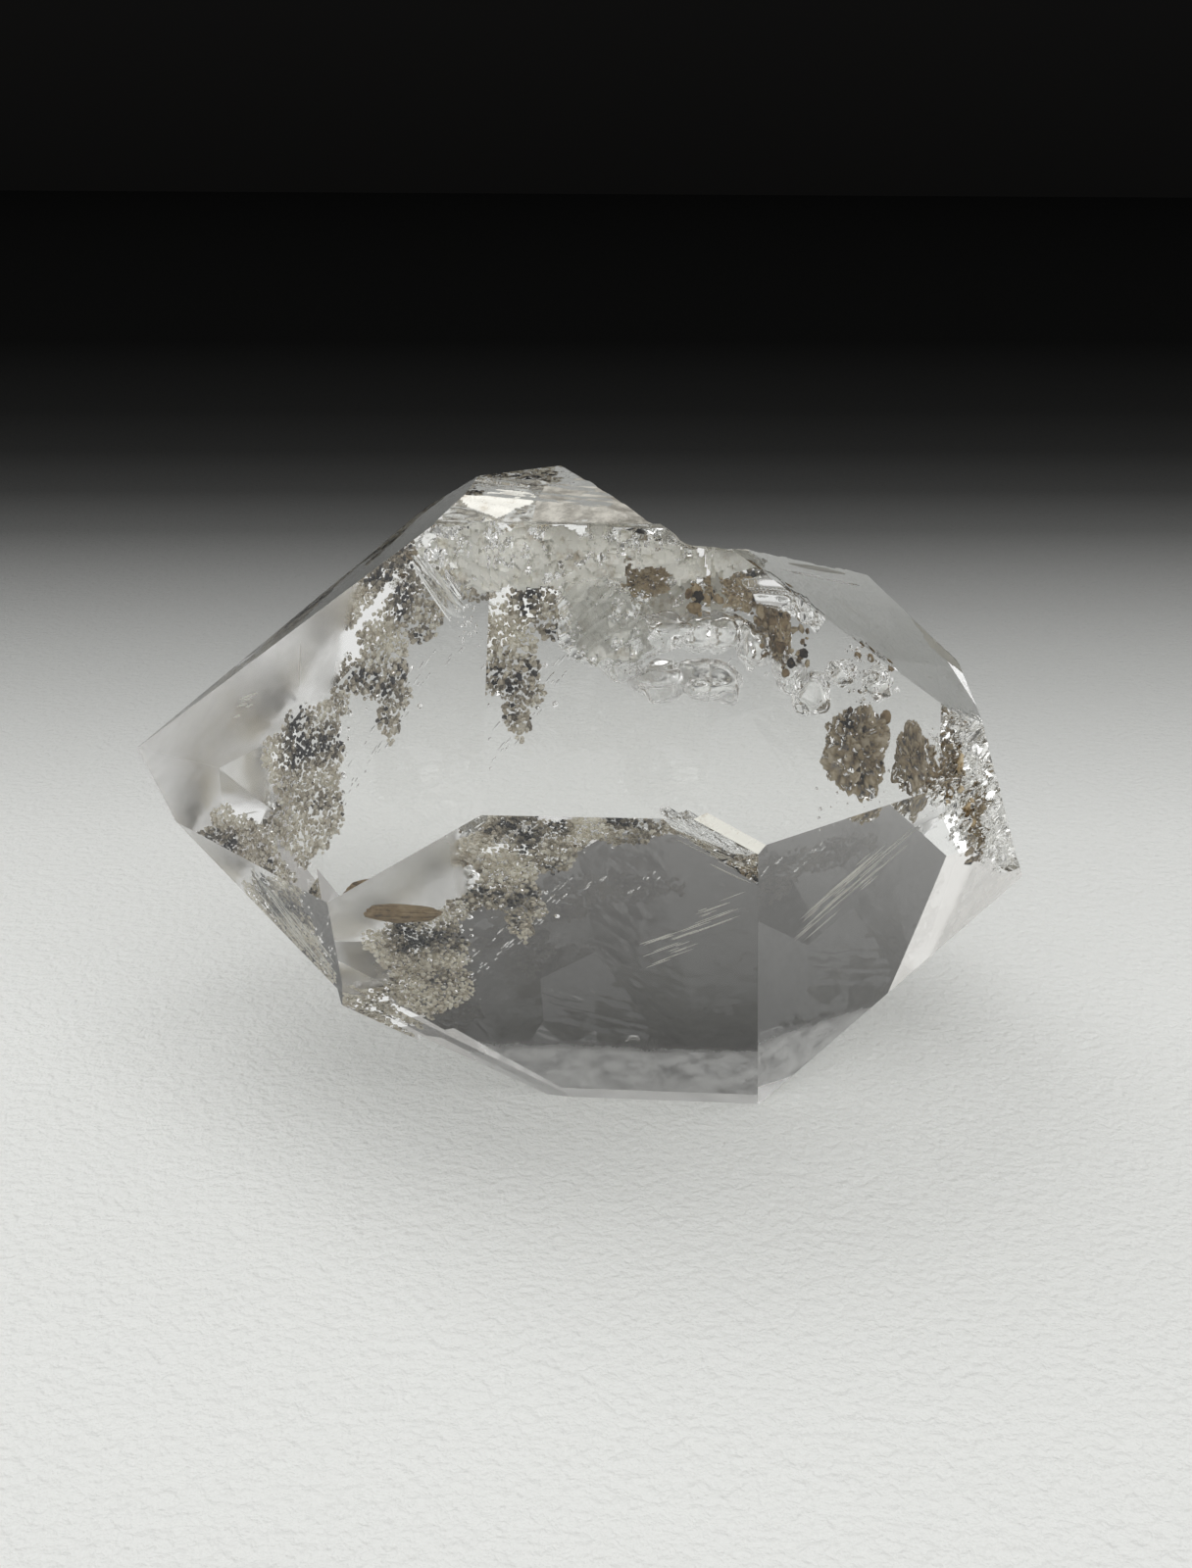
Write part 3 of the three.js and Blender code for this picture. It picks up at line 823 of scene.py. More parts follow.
# %% Many small shapes in one mesh
def random_turns(count, seed):
    """A rotation matrix for each item, from random unit quaternions."""
    rows = np.arange(count)[:, None]
    parts = np.concatenate([hashed(rows, seed + k)[:, None] - 0.5 for k in (1, 2, 3, 4)], axis=1)
    w, x, y, z = (parts / np.linalg.norm(parts, axis=1, keepdims=True)).T
    return np.stack([
        np.stack([1 - 2 * (y * y + z * z), 2 * (x * y - w * z), 2 * (x * z + w * y)], -1),
        np.stack([2 * (x * y + w * z), 1 - 2 * (x * x + z * z), 2 * (y * z - w * x)], -1),
        np.stack([2 * (x * z - w * y), 2 * (y * z + w * x), 1 - 2 * (x * x + y * y)], -1)], -2)


def many_balls(name, middles, radii, turns, seed, uneven=0.3, size=(3, 5)):
    """A small ball at each middle: radii is three numbers for each, and uneven moves every
    corner in or out at random."""
    directions, faces = ball_grid(*size)
    count, corners = len(middles), len(directions)
    pushes = hashed(np.arange(count * corners)[:, None], seed).reshape(count, corners, 1)
    shapes = directions[None] * (1 + uneven * (2 * pushes - 1)) * np.asarray(radii)[:, None, :]
    points = middles[:, None, :] + np.einsum("nij,nkj->nki", turns, shapes)
    polygons = [[c + corners * k for c in face] for k in range(count) for face in faces]
    return mesh_object(name, points.reshape(-1, 3) * MM, polygons), corners


def join_mesh(body, tool):
    """Adds the tool's mesh to the body's, and throws the tool away."""
    both = bmesh.new()
    both.from_mesh(body.data)
    both.from_mesh(tool.data)
    both.to_mesh(body.data)
    both.free()
    bpy.data.objects.remove(tool)


print("one turn, as a matrix:", random_turns(1, 1)[0].round(2).tolist())

# %% [markdown]
# Clay is dry mud of many browns, and its pits are painted darkest: painted shade where less light
# reaches. A picture would be one way to colour it. Here each corner of the mesh stores a shade,
# worked out with its shape, so the painted shade lies where the pits are, and a colour ramp turns
# the shade into browns. The grains use the same ramp with greys.


# %% The finish of the clay
def give_shade(obj, values):
    """Stores one value for each corner of the mesh, which the material reads as its shade."""
    attribute = obj.data.attributes.new("shade", "FLOAT", "POINT")
    attribute.data.foreach_set("value", np.asarray(values).astype(np.float32))


def shade_colour(nodes, links, stops, added=None):
    """A colour ramp over the mesh's own shade, with something added to it."""
    shade = node(nodes, "ShaderNodeAttribute", attribute_name="shade")
    total = node(nodes, "ShaderNodeMath", operation="ADD")
    total.inputs[1].default_value = 0.0
    links.new(shade.outputs["Fac"], total.inputs[0])
    if added:
        links.new(added, total.inputs[1])
    ramp = node(nodes, "ShaderNodeValToRGB")
    links.new(total.outputs["Value"], ramp.inputs["Fac"])
    elements = ramp.color_ramp.elements
    while len(elements) < len(stops):
        elements.new(0.5)
    for element, (at, colour) in zip(elements, stops):
        element.position = at
        element.color = (*colour, 1)
    return ramp.outputs["Color"]


def clay_finish(name, stops):
    """Dry mud: the colour follows the shade attribute, which is low in the pits as painted shade,
    and a noise.
    """
    material, nodes, links = new_material(name)
    shader = nodes["Principled BSDF"]
    where = object_pattern(nodes, links)
    lumps = placed(nodes, links, PATCHY, where, Scale=2.2, Detail=6.0, Coarseness=0.75,
                   Lower_Edge=0.0, Upper_Edge=1.0, Low=-0.4, High=0.4)
    colour = shade_colour(nodes, links, stops, lumps.outputs["Value"])
    links.new(colour, shader.inputs["Base Color"])
    shader.inputs["Roughness"].default_value = 0.85
    shader.inputs["Specular IOR Level"].default_value = 0.2
    bump = node(nodes, "ShaderNodeBump", Strength=0.8, Distance=0.06 * MM)
    links.new(lumps.outputs["Pattern"], bump.inputs["Height"])
    links.new(bump.outputs["Normal"], shader.inputs["Normal"])
    return material


DARK_CLAY = clay_finish("speckled_clay", [
    (0.12, (0.012, 0.010, 0.008)), (0.27, (0.16, 0.115, 0.065)), (0.5, (0.36, 0.28, 0.17)),
    (0.8, (0.62, 0.54, 0.41))])
TAN_CLAY = clay_finish("tan_clay", [
    (0.04, (0.02, 0.015, 0.01)), (0.18, (0.24, 0.16, 0.08)), (0.45, (0.44, 0.33, 0.19)),
    (0.8, (0.66, 0.56, 0.40))])
print("clay finishes:", DARK_CLAY.name, "and", TAN_CLAY.name)

# %% [markdown]
# A lump of clay is a ball with the coarse bulges of its cavity and with fine pits, and loose
# crumbs stick to it. Some lumps also have a trail of crumbs that leads away from them.


# %% Crumbs and trails
def crumb_ring(middle, radii, count, seed):
    """Random places on the surface of a stretched ball, and a size for each. A random height
    from -1 to 1 and a random turn spread them evenly over the ball."""
    row = np.arange(count)[:, None]
    height = 2 * hashed(row, seed) - 1
    turn = 2 * np.pi * hashed(row, seed + 1)
    level = np.sqrt(1 - height ** 2)
    directions = np.stack([level * np.cos(turn), level * np.sin(turn), height], axis=-1)
    return np.array(middle) + directions * np.array(radii), 0.06 + 0.16 * hashed(row, seed + 2) ** 2


TRAIL_COUNT = 46  # unless the lump says otherwise


def clay_trail(lump):
    """Crumbs along the lump's trail: its start plus a random part of the way to its end, and a
    random stray, at a depth under the front or under the face that the lump names."""
    flat, count, seed = np.array(lump["trail"]), lump.get("count", TRAIL_COUNT), lump["seed"]
    row = np.arange(count)[:, None]
    part = hashed(row, seed + 3)[:, None]
    stray = np.stack([hashed(row, seed + k) for k in (4, 5)], axis=-1) - 0.5
    flat = flat[0] + part * (flat[1] - flat[0]) + lump["stray"] * stray
    if "trail_face" in lump:
        depth = 0.35 + 0.2 * stray[:, 0]
        places = under_face(lump["trail_face"], flat[:, 0], flat[:, 1], depth)
    else:
        places = under_front(flat[:, 0], flat[:, 1], 1.0 + 0.6 * stray[:, 0])
    size = 0.06 + 0.2 * hashed(row, seed + 6) ** 2
    trail, _ = many_balls("trail", places, size[:, None] * [1, 0.6, 0.9],
                          random_turns(count, seed), seed + 9, size=(6, 8))
    return trail


crumb_sizes = crumb_ring((0, 0, 0), (1, 1, 1), 50, 1)[1]
print("crumbs are", crumb_sizes.min().round(2), "to", crumb_sizes.max().round(2), "mm in radius")

# %% [markdown]
# The lump, its crumbs and its trail become one mesh, because they are one piece of mud. It takes
# the place of the solid with the same name, and smooth shading keeps the pits soft.


# %% Lumps of clay
PITS, PIT_WAVES = 0.22, 9.0  # how deep the fine pits are, and how close
SAME_SHADE = 40  # as many corners of the crumbs in a row share one shade


def clay_piece(name, lump, finish, crumbs):
    """A lump whose distance from its middle is the radius times one plus coarse and fine noise,
    with crumbs that stick to it. It is painted darkest where the fine noise goes inwards: painted
    shade in the pits."""
    directions, faces = ball_grid(90, 120)
    seed = lump["seed"]
    coarse = COARSE * value_noise(directions * COARSE_WAVES + 7.1 * seed, seed, layers=3)
    fine = PITS * value_noise(directions * PIT_WAVES + 3.3 * seed, seed + 2, layers=3, fade=0.7)
    middle, radii = np.array(lump["at"]), np.array(lump["radii"])
    points = middle + directions * radii * (1 + coarse + fine)[:, None]
    piece = mesh_object(name + "_mesh", points * MM, faces)
    places, size = crumb_ring(middle, radii * 0.95, crumbs, seed + 7)
    loose, _ = many_balls("crumbs", places, size[:, None] * [1, 0.9, 0.7],
                          random_turns(crumbs, seed), seed + 9, size=(6, 8))
    join_mesh(piece, loose)
    if "trail" in lump:
        join_mesh(piece, clay_trail(lump))
    corner = np.arange(len(piece.data.vertices))[:, None]
    shade = 0.75 * hashed(corner // SAME_SHADE, seed + 12)
    # Painted shade: the surface is darker where the fine noise sinks into pits, and a little darker
    # where the coarse bulges sink.
    shade[:len(directions)] = 0.42 + 4.0 * fine + 0.3 * coarse
    give_shade(piece, shade)
    piece.data.materials.append(finish)
    piece.data.shade_smooth()
    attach(piece, "root")
    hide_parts(name)
    return piece


# The finish of each lump, and how many crumbs stick to it.
CLAY_LOOK = {
    "large_clay_clump": (DARK_CLAY, 60), "small_clay_clump": (DARK_CLAY, 30),
    "drip_clay": (TAN_CLAY, 30), "top_clay_clump": (TAN_CLAY, 10), "ridge_clay": (TAN_CLAY, 8),
    "upper_end_clay": (TAN_CLAY, 40), "lower_end_clay": (TAN_CLAY, 40),
}
for name, (finish, crumbs) in CLAY_LOOK.items():
    piece = clay_piece(name, CLAY[name], finish, crumbs)
    print(piece.name, len(piece.data.polygons), "faces")

# %% [markdown]
# A flat brown lens of clay lies behind the lower front face, and single dark crumbs are strewn
# round the larger lumps. The crumbs stand out one by one in the real crystal, so each has its own
# place, size and shade in a table instead of a random one.

# %% The brown lens and single crumbs
LENS_AT, LENS_RADII = (-4.75, -8.2, 9.27), (1.15, 0.3, 0.42)
LENS_SAME_SHADE = 7  # as many corners in a row share one shade
lens = lumpy_ball("brown_lens", LENS_AT, LENS_RADII, 5, 0.25, 2.0)
corner = np.arange(len(lens.data.vertices))[:, None]
give_shade(lens, 0.12 + 0.3 * hashed(corner // LENS_SAME_SHADE, 2))
lens.data.materials.append(TAN_CLAY)
lens.data.shade_smooth()
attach(lens, "root")
# Single crumbs under the front faces: X, Z, radius in mm, and shade from black to tan.
SPECKS = np.array([
    (4.04, 18.78, 0.2, 0.0), (6.5, 16.63, 0.16, 0.0), (6.86, 16.8, 0.17, 0.0),
    (6.35, 16.4, 0.15, 0.3), (9.4, 14.55, 0.24, 0.35), (9.55, 15.85, 0.12, 0.3),
    (3.95, 18.5, 0.22, 0.35), (8.5, 16.4, 0.13, 0.3), (8.9, 16.25, 0.14, 0.35),
    (8.3, 15.0, 0.12, 0.05), (11.0, 12.7, 0.2, 0.35),
])
SPECK_DEPTH = 0.9
places = under_front(SPECKS[:, 0], SPECKS[:, 1], SPECK_DEPTH)
specks, corners_each = many_balls("clay_specks", places, SPECKS[:, 2:3] * [1, 0.8, 0.9],
                                  random_turns(len(SPECKS), 31), 32, uneven=0.2, size=(9, 12))
give_shade(specks, np.repeat(SPECKS[:, 3], corners_each))
specks.data.materials.append(TAN_CLAY)
specks.data.shade_smooth()
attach(specks, "root")
print("lens and", len(SPECKS), "crumbs")

# %% [markdown]
# The healed crack is a slightly tilted sheet in the left half. Its grains are spread over an
# outline in X and Z with random jitter, and the outline is frayed by noise. One small ball of
# fifteen faces is repeated for all of them, each with its own size, turn and shade.


# %% The grains of the healed crack
VEIL_OUTLINE = [
    (-4.4, 11.9), (-4.4, 13), (-3.1, 13.7), (-1.2, 13.3), (2.6, 13.7), (3.3, 12.9), (0, 12.5),
    (-0.8, 11.3), (-1.9, 10.9), (-1.5, 9.2), (-2.2, 7.8), (-3.1, 9), (-4.2, 9.3), (-4.5, 8),
    (-4.1, 5.2), (-5.3, 4), (-7, 3.4), (-8.5, 5.1), (-7.3, 5.8), (-8.2, 8.4), (-7, 9.1),
    (-5.5, 9.1), (-4.7, 9.9), (-4.0, 10.2), (-3.8, 10.9),
]
# The sheet's Y at a level Z, and how far it moves back for each millimetre up.
VEIL_Y, VEIL_SLOPE, VEIL_LEVEL = 6.93, 0.38, 8.0
# The stretches of X and Z that the outline lies in, with room for the fray.
VEIL_X, VEIL_Z = (-9.6, 4.2), (2.6, 14.4)
# The least depth of a grain's or bubble's middle, a little more than the largest of them.
VEIL_MARGIN = 0.22


def veil_places(spacing, jitter, seed, spread, depth):
    """Jittered grid points inside the outline once their place is bent by noise, put on the
    tilted sheet, with depth as the random distance off it."""
    x, z = np.meshgrid(np.arange(*VEIL_X, spacing), np.arange(*VEIL_Z, spacing))
    flat = np.stack([x.ravel(), z.ravel()], axis=-1)
    chance = [hashed(np.round(flat / spacing), seed + k) for k in range(3)]
    flat = flat + jitter * (np.stack(chance[:2], axis=-1) - 0.5)
    bend = np.stack([value_noise(flat * 1.1, seed + k) for k in (7, 8)], axis=-1)
    bent = flat + spread * bend
    kept = inside_outline(bent[:, 0], bent[:, 1], VEIL_OUTLINE)
    flat, off = flat[kept], chance[2][kept] - 0.5
    sheet = VEIL_Y + VEIL_SLOPE * (flat[:, 1] - VEIL_LEVEL)
    y = sheet + depth * off + 0.3 * value_noise(flat * 0.9, 5)
    places = np.stack([flat[:, 0], y, flat[:, 1]], axis=-1)
    return places[depth_inside(places) > VEIL_MARGIN]


places = veil_places(0.115, 0.12, 2, 0.45, 0.6)
size = 0.065 + 0.09 * hashed(places[:, ::2] * 9.0, 3) ** 1.5
grains, corners_each = many_balls("veil_grains", places, size[:, None] * [1, 0.8, 0.7],
                                  random_turns(len(places), 4), 6)
shade = 0.4 * hashed(places[:, ::2] * 7.0, 8) + 0.6 * (0.62 + 1.3 * value_noise(places * 0.9, 9))
give_shade(grains, np.repeat(shade, corners_each))
GRAIN_STOPS = [(0.22, (0.03, 0.03, 0.035)), (0.34, (0.24, 0.21, 0.165)),
               (0.49, (0.58, 0.515, 0.41)), (0.8, (0.92, 0.88, 0.77))]
material, nodes, links = new_material("grey_grains")
shader = nodes["Principled BSDF"]
links.new(shade_colour(nodes, links, GRAIN_STOPS), shader.inputs["Base Color"])
gloss = placed(nodes, links, PATCHY, object_pattern(nodes, links), Scale=9.0, Detail=2.0,
               Coarseness=0.5, Upper_Edge=0.65, Low=0.35, High=0.9)
links.new(gloss.outputs["Value"], shader.inputs["Roughness"])
grains.data.materials.append(material)
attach(grains, "root")
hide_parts("grain_veil")
print(len(places), "grains,", len(grains.data.polygons), "faces")

# %% [markdown]
# Between the grains are tiny empty bubbles. A bubble is a hole in the quartz. It could be carved
# like a cavity, but that is slow for hundreds. A closed form whose faces are turned inside out
# and added to the quartz mesh does the same: light that meets it leaves the quartz there and
# enters it again on the far side.


# %% Bubbles of the healed crack
def add_hollows(body, tool, slot_index, glassy=None):
    """Adds a closed form to the body's mesh as a hollow, with its faces turned to its inside.
    Where a noise is higher than glassy, its wall is clear."""
    paint_all(tool, slot_index)
    if glassy is not None:
        def clear_patch(p):
            """Where the noise is higher than glassy."""
            return value_noise(p * 1.7, 6, layers=4, fade=0.7) > glassy
        paint_where(tool, CLEAR_SLOT, clear_patch)
    tool.data.flip_normals()
    join_mesh(body, tool)


places = veil_places(0.36, 0.34, 12, 0.9, 1.0)
size = 0.05 + 0.1 * hashed(places[:, ::2] * 9.0, 13) ** 2
bubbles, _ = many_balls("bubbles", places, size[:, None] * [1, 0.8, 0.8],
                        random_turns(len(places), 14), 16, uneven=0.15, size=(4, 6))
add_hollows(crystal, bubbles, CLEAR_SLOT)
print(len(places), "bubbles")

# %% [markdown]
# The crust on the broken end glitters because it is many small crystals with gaps between them.
# Rough facets alone look too smooth there, so bubbles with wavy walls lie behind them, spread
# between the four corners of the broken wall down to a small depth.


# %% Bubbles behind the broken end
END_CORNERS = np.array([(11.6, -5.2, 13.9), (12.9, -2.7, 13.5),
                        (12.6, -3.7, 9.9), (14.7, -0.3, 7.7)])
END_IN = np.array([-0.9, 0.43, -0.06])
END_BUBBLES = 300
# How deep the first bubbles lie behind the wall, in mm, and how much deeper the last.
END_FIRST, END_DEPTH = 0.25, 1.1


def end_places(count, seed):
    """Random places between the corners of the broken wall: a share of the way across both its
    top and bottom edge, then a share of the way down between those two, then inwards."""
    row = np.arange(count)[:, None]
    across, down, inward = (hashed(row, seed + k)[:, None] for k in range(3))
    top = END_CORNERS[0] + across * (END_CORNERS[1] - END_CORNERS[0])
    low = END_CORNERS[2] + across * (END_CORNERS[3] - END_CORNERS[2])
    return top + down * (low - top) + (END_FIRST + END_DEPTH * inward) * END_IN


places = end_places(END_BUBBLES, 70)
size = 0.05 + 0.15 * hashed(np.arange(END_BUBBLES)[:, None], 74) ** 2
bubbles, _ = many_balls("end_bubbles", places, size[:, None] * [1, 0.8, 0.6],
                        random_turns(END_BUBBLES, 75), 76, uneven=0.2, size=(5, 7))
add_hollows(crystal, bubbles, BROKEN_SLOT)
print(len(places), "bubbles behind the broken end")

# %% [markdown]
# Small patches under the front faces sparkle with loose bubbles and blocks. A grid inside an
# outline, with every point moved a little at random, fills such a patch without clumps and
# bare spots, which plain random places would leave.


# %% Sparkling patches
def sprinkle(outline, spacing, depth, largest, seed, flatness=0.7, size=(4, 6)):
    """Bubbles under the front faces, at jittered grid points inside an outline in X and Z. Their
    radii lie between a quarter of the largest and the largest."""
    corners = np.array(outline)
    (x1, z1), (x2, z2) = corners.min(axis=0), corners.max(axis=0)
    x, z = np.meshgrid(np.arange(x1, x2, spacing), np.arange(z1, z2, spacing))
    flat = np.stack([x.ravel(), z.ravel()], axis=-1)
    draws = [hashed(np.round(flat / spacing), seed + k) for k in range(4)]
    flat = flat + 0.9 * spacing * (np.stack(draws[:2], axis=-1) - 0.5)
    kept = inside_outline(flat[:, 0], flat[:, 1], outline)
    flat, radius = flat[kept], largest * (0.25 + 0.75 * draws[2][kept] ** 1.5)
    places = under_front(flat[:, 0], flat[:, 1], depth * (0.6 + 0.8 * draws[3][kept]))
    tool, _ = many_balls("sprinkle", places, radius[:, None] * [1, 0.8, flatness],
                         random_turns(len(places), seed), seed + 6, uneven=0.25, size=size)
    add_hollows(crystal, tool, CLEAR_SLOT)
    return len(places)


# Each patch: the outline, the spacing, the depth and the largest radius.
SPRINKLES = (
    ([(-2.9, 18.3), (-2.2, 18.4), (-1.7, 17.5), (-2.6, 17.3)], 0.13, 0.9, 0.09),
    ([(-0.3, 18.2), (0.5, 18.4), (1.1, 17.3), (0.4, 17.3)], 0.13, 0.6, 0.09),
    ([(0.6, 17.4), (2.9, 17.2), (2.8, 16.9), (1.4, 16.9)], 0.12, 0.6, 0.07),
    ([(8.0, 16.8), (8.7, 16.9), (9.5, 16.0), (9.2, 15.3), (8.4, 15.6)], 0.17, 0.6, 0.12),
    ([(8.6, 15.6), (9.2, 15.5), (8.9, 14.6), (8.3, 14.7)], 0.17, 0.8, 0.1),
    ([(7.3, 14.6), (9.3, 14.6), (9.6, 12.4), (7.3, 12.4)], 0.34, 0.9, 0.09),
)
for number, (outline, spacing, depth, largest) in enumerate(SPRINKLES):
    count = sprinkle(outline, spacing, depth, largest, 80 + number)
    print("patch", number, "has", count, "bubbles")
BLOCKS = [(9.0, 15.7), (9.8, 15.8), (9.9, 14.9), (9.2, 14.9)]
sprinkle(BLOCKS, 0.42, 0.7, 0.34, 90, flatness=1.2, size=(2, 5))

# %% [markdown]
# Left and right of the healed crack, and on its plane, lie rows of slanting dashes, which are
# drawn-out bubbles. They all slant one way, because they grew with the crystal, so one direction
# turns them all.


# %% Slanting dashes
def along(directions):
    """Turns that lay the long axis, X, along each direction: its columns are the direction, a
    level direction square to it, and the cross product of the two."""
    x = np.asarray(directions, float)
    x = x / np.linalg.norm(x, axis=-1, keepdims=True)
    level = np.cross([0.0, 0.0, 1.0], x)
    level = level / np.linalg.norm(level, axis=-1, keepdims=True)
    return np.stack([x, level, np.cross(x, level)], axis=-1)


# Each row: start and end in X and Z, and how many dashes.
DASH_ROWS = (((-0.2, 11.2), (-4.0, 7.2), 16), ((0.4, 10.9), (-1.4, 9.4), 9),
             ((-2.6, 8.2), (-3.9, 6.2), 8), ((2.6, 11.2), (1.0, 9.8), 7),
             ((-3.9, 6.6), (-4.6, 4.4), 6), ((-1.6, 8.9), (-3.0, 7.4), 6))
DASH_SLANT, DASH_RADIUS = (0.62, 0.3, 0.78), 0.03
dash_places = []
for (x1, z1), (x2, z2), count in DASH_ROWS:
    part = hashed(np.arange(count)[:, None], 40 + x1)[:, None]
    row = np.array([[x1, z1]]) + part * np.array([[x2 - x1, z2 - z1]])
    row = row + 0.5 * (np.stack([hashed(row * 9, 41), hashed(row * 9, 42)], -1) - 0.5)
    dash_places.append(row)
flat = np.concatenate(dash_places)
sheet = VEIL_Y + VEIL_SLOPE * (flat[:, 1] - VEIL_LEVEL)
places = np.stack([flat[:, 0], sheet, flat[:, 1]], axis=-1)
length = 0.08 + 0.22 * hashed(flat * 5, 43) ** 2
thin = np.full(len(length), DASH_RADIUS)
radii = np.stack([length, thin, thin], axis=-1)
slants = along(np.tile(DASH_SLANT, (len(places), 1)))
dashes, _ = many_balls("dashes", places, radii, slants, 44, uneven=0.1, size=(6, 6))
add_hollows(crystal, dashes, CLEAR_SLOT)
print(len(places), "dashes")

# %% [markdown]
# Scratches, glints and needle-like cracks are long thin blades between two places. Scratches lie
# side by side and all one way on the real faces. Each set of them is one line with a spread, and
# they lie just under the faces, where they can be hollows like the bubbles. A curve with a
# thickness would be another way, but a ball drawn out along its line has only 32 faces.


# %% Scratches
def blades(name, starts, ends, width, thickness, slot_index):
    """A drawn-out ball from each start to its end: half the distance is its long radius, and
    thickness and width are its two short ones."""
    starts, ends = np.asarray(starts), np.asarray(ends)
    span = ends - starts
    half = np.linalg.norm(span, axis=1) / 2
    radii = np.stack([half, np.full(len(half), thickness), np.full(len(half), width)], axis=-1)
    tool, _ = many_balls(name, (starts + ends) / 2, radii, along(span), 50, uneven=0.08,
                         size=(8, 4))
    add_hollows(crystal, tool, slot_index)


# In mm: how deep a scratch lies, the least depth of its ends in the crystal, and its half depth.
SCRATCH_DEPTH, SCRATCH_MARGIN, SCRATCH_THICKNESS = 0.08, 0.05, 0.008


def scratches(face, start, end, spread, count, length, rise, seed, width=0.014):
    """Parallel blades just under a face, spread round the line from start to end in X and Z. The
    rise is the change in Z for each millimetre along X."""
    row = np.arange(count)[:, None]
    part = hashed(row, seed)
    x = start[0] + part * (end[0] - start[0])
    z = start[1] + part * (end[1] - start[1]) + spread * (hashed(row, seed + 1) - 0.5)
    reach = length * (0.2 + 0.8 * hashed(row, seed + 2))
    starts = under_face(face, x, z, SCRATCH_DEPTH)
    ends = under_face(face, x + reach, z + rise * reach, SCRATCH_DEPTH)
    kept = np.minimum(depth_inside(starts), depth_inside(ends)) > SCRATCH_MARGIN
    blades("scratches", starts[kept], ends[kept], width, SCRATCH_THICKNESS, WORN_AND_HIGHLIGHT_SLOT)
    print(kept.sum(), "scratches under", face)


scratches("prism_lower_front", (2.4, 7.6), (5.0, 9.7), 1.6, 34, 1.3, 0.6, 51)
scratches("right_lower_front", (7.0, 8.2), (9.3, 10.0), 1.6, 34, 1.5, 0.8, 55, width=0.022)
scratches("prism_lower_front", (3.6, 13.0), (5.4, 11.6), 0.9, 16, 1.2, -0.65, 58)
scratches("left_lower_front", (-9.9, 8.7), (-7.6, 6.9), 1.7, 44, 0.9, -1.3, 61, width=0.03)
scratches("left_upper_front", (-11.0, 13.6), (-10.3, 14.1), 0.5, 9, 0.8, 0.5, 64, width=0.03)

# %% [markdown]
# Glints are single cracks under the upper right end face, by the crest and by the left tip.
# Most are painted cream, a painted highlight, and one is clear. Needles hang in a bundle under
# the left end of the crest. Each is seen by itself on the real crystal, so each is a row of a
# table.

# %% Glints and needles
GLINT_THICKNESS, NEEDLE_THICKNESS = 0.03, 0.04
# Each glint: both ends, half the width, and the finish.
# The cream glints are painted highlights.
GLINTS = (((-8.4, -4.4, 16.1), (-8.35, -5.2, 14.95), 0.05, WORN_AND_HIGHLIGHT_SLOT),
          ((6.5, -3.4, 18.55), (8.4, 1.6, 17.0), 0.16, WORN_AND_HIGHLIGHT_SLOT),
          ((6.2, -4.9, 18.7), (8.9, 1.6, 16.6), 0.1, CLEAR_SLOT),
          ((3.6, -7.8, 20.35), (5.9, -5.45, 19.15), 0.05, WORN_AND_HIGHLIGHT_SLOT),
          ((10.77, -2.82, 15.25), (11.01, -3.1, 15.08), 0.03, WORN_AND_HIGHLIGHT_SLOT),
          ((11.01, -3.1, 15.08), (11.23, -2.7, 14.9), 0.03, WORN_AND_HIGHLIGHT_SLOT))
for start, end, width, slot_index in GLINTS:
    blades("glint", [start], [end], width, GLINT_THICKNESS, slot_index)
# Each needle: X, Z and depth of both ends, half the width, and the finish.
NEEDLES = ((-4.4, 19.25, 0.5, -2.2, 17.1, 3.0, 0.28, CLEAR_SLOT),
           (-4.1, 19.3, 0.5, -2.1, 17.4, 2.9, 0.12, CLEAR_SLOT),
           (-3.6, 19.0, 0.8, -2.6, 18.0, 1.0, 0.1, WORN_AND_HIGHLIGHT_SLOT),
           (-3.2, 19.0, 0.9, -2.3, 17.9, 2.3, 0.14, CLEAR_SLOT),
           (-4.3, 18.9, 0.9, -2.9, 17.7, 1.0, 0.09, BROKEN_SLOT))
for x1, z1, depth1, x2, z2, depth2, width, slot_index in NEEDLES:
    blades("needle", [under_front(x1, z1, depth1)], [under_front(x2, z2, depth2)], width,
           NEEDLE_THICKNESS, slot_index)
print(len(GLINTS), "glints,", len(NEEDLES), "needles")

# %% [markdown]
# An open crack is a gap of a few hundredths or tenths of a millimetre. Its two walls mirror the
# light, and that is what makes it show. It is made as a closed sheet: a front and a back grid,
# cut to an outline that noise has frayed, with a wall along the cut. Each crack is laid by a
# formula for the place and one for its thickness.


# %% Thin closed sheets
# The least depth in the crystal of every corner of a crack, in mm.
CRACK_MARGIN = 0.03


def thin_sheet(name, front, back, inside):
    """A closed sheet from two grids of points: the cells that lie inside, once on the front and
    once on the back, with a wall along every edge that only one cell has."""
    rows, columns = front.shape[:2]
    count = rows * columns
    kept = grid_faces(rows, columns)[inside.ravel()]
    sides = np.concatenate([kept[:, [0, 1]], kept[:, [1, 2]], kept[:, [2, 3]], kept[:, [3, 0]]])
    lone = sides[~np.isin(sides[:, 0] * count + sides[:, 1], sides[:, 1] * count + sides[:, 0])]
    walls = np.stack([lone[:, 1], lone[:, 0], lone[:, 0] + count, lone[:, 1] + count], axis=1)
    polygons = np.concatenate([kept, kept[:, ::-1] + count, walls])
    points = np.concatenate([front.reshape(-1, 3), back.reshape(-1, 3)])
    used, polygons = np.unique(polygons, return_inverse=True)
    return mesh_object(name, points[used] * MM, polygons.reshape(-1, 4))


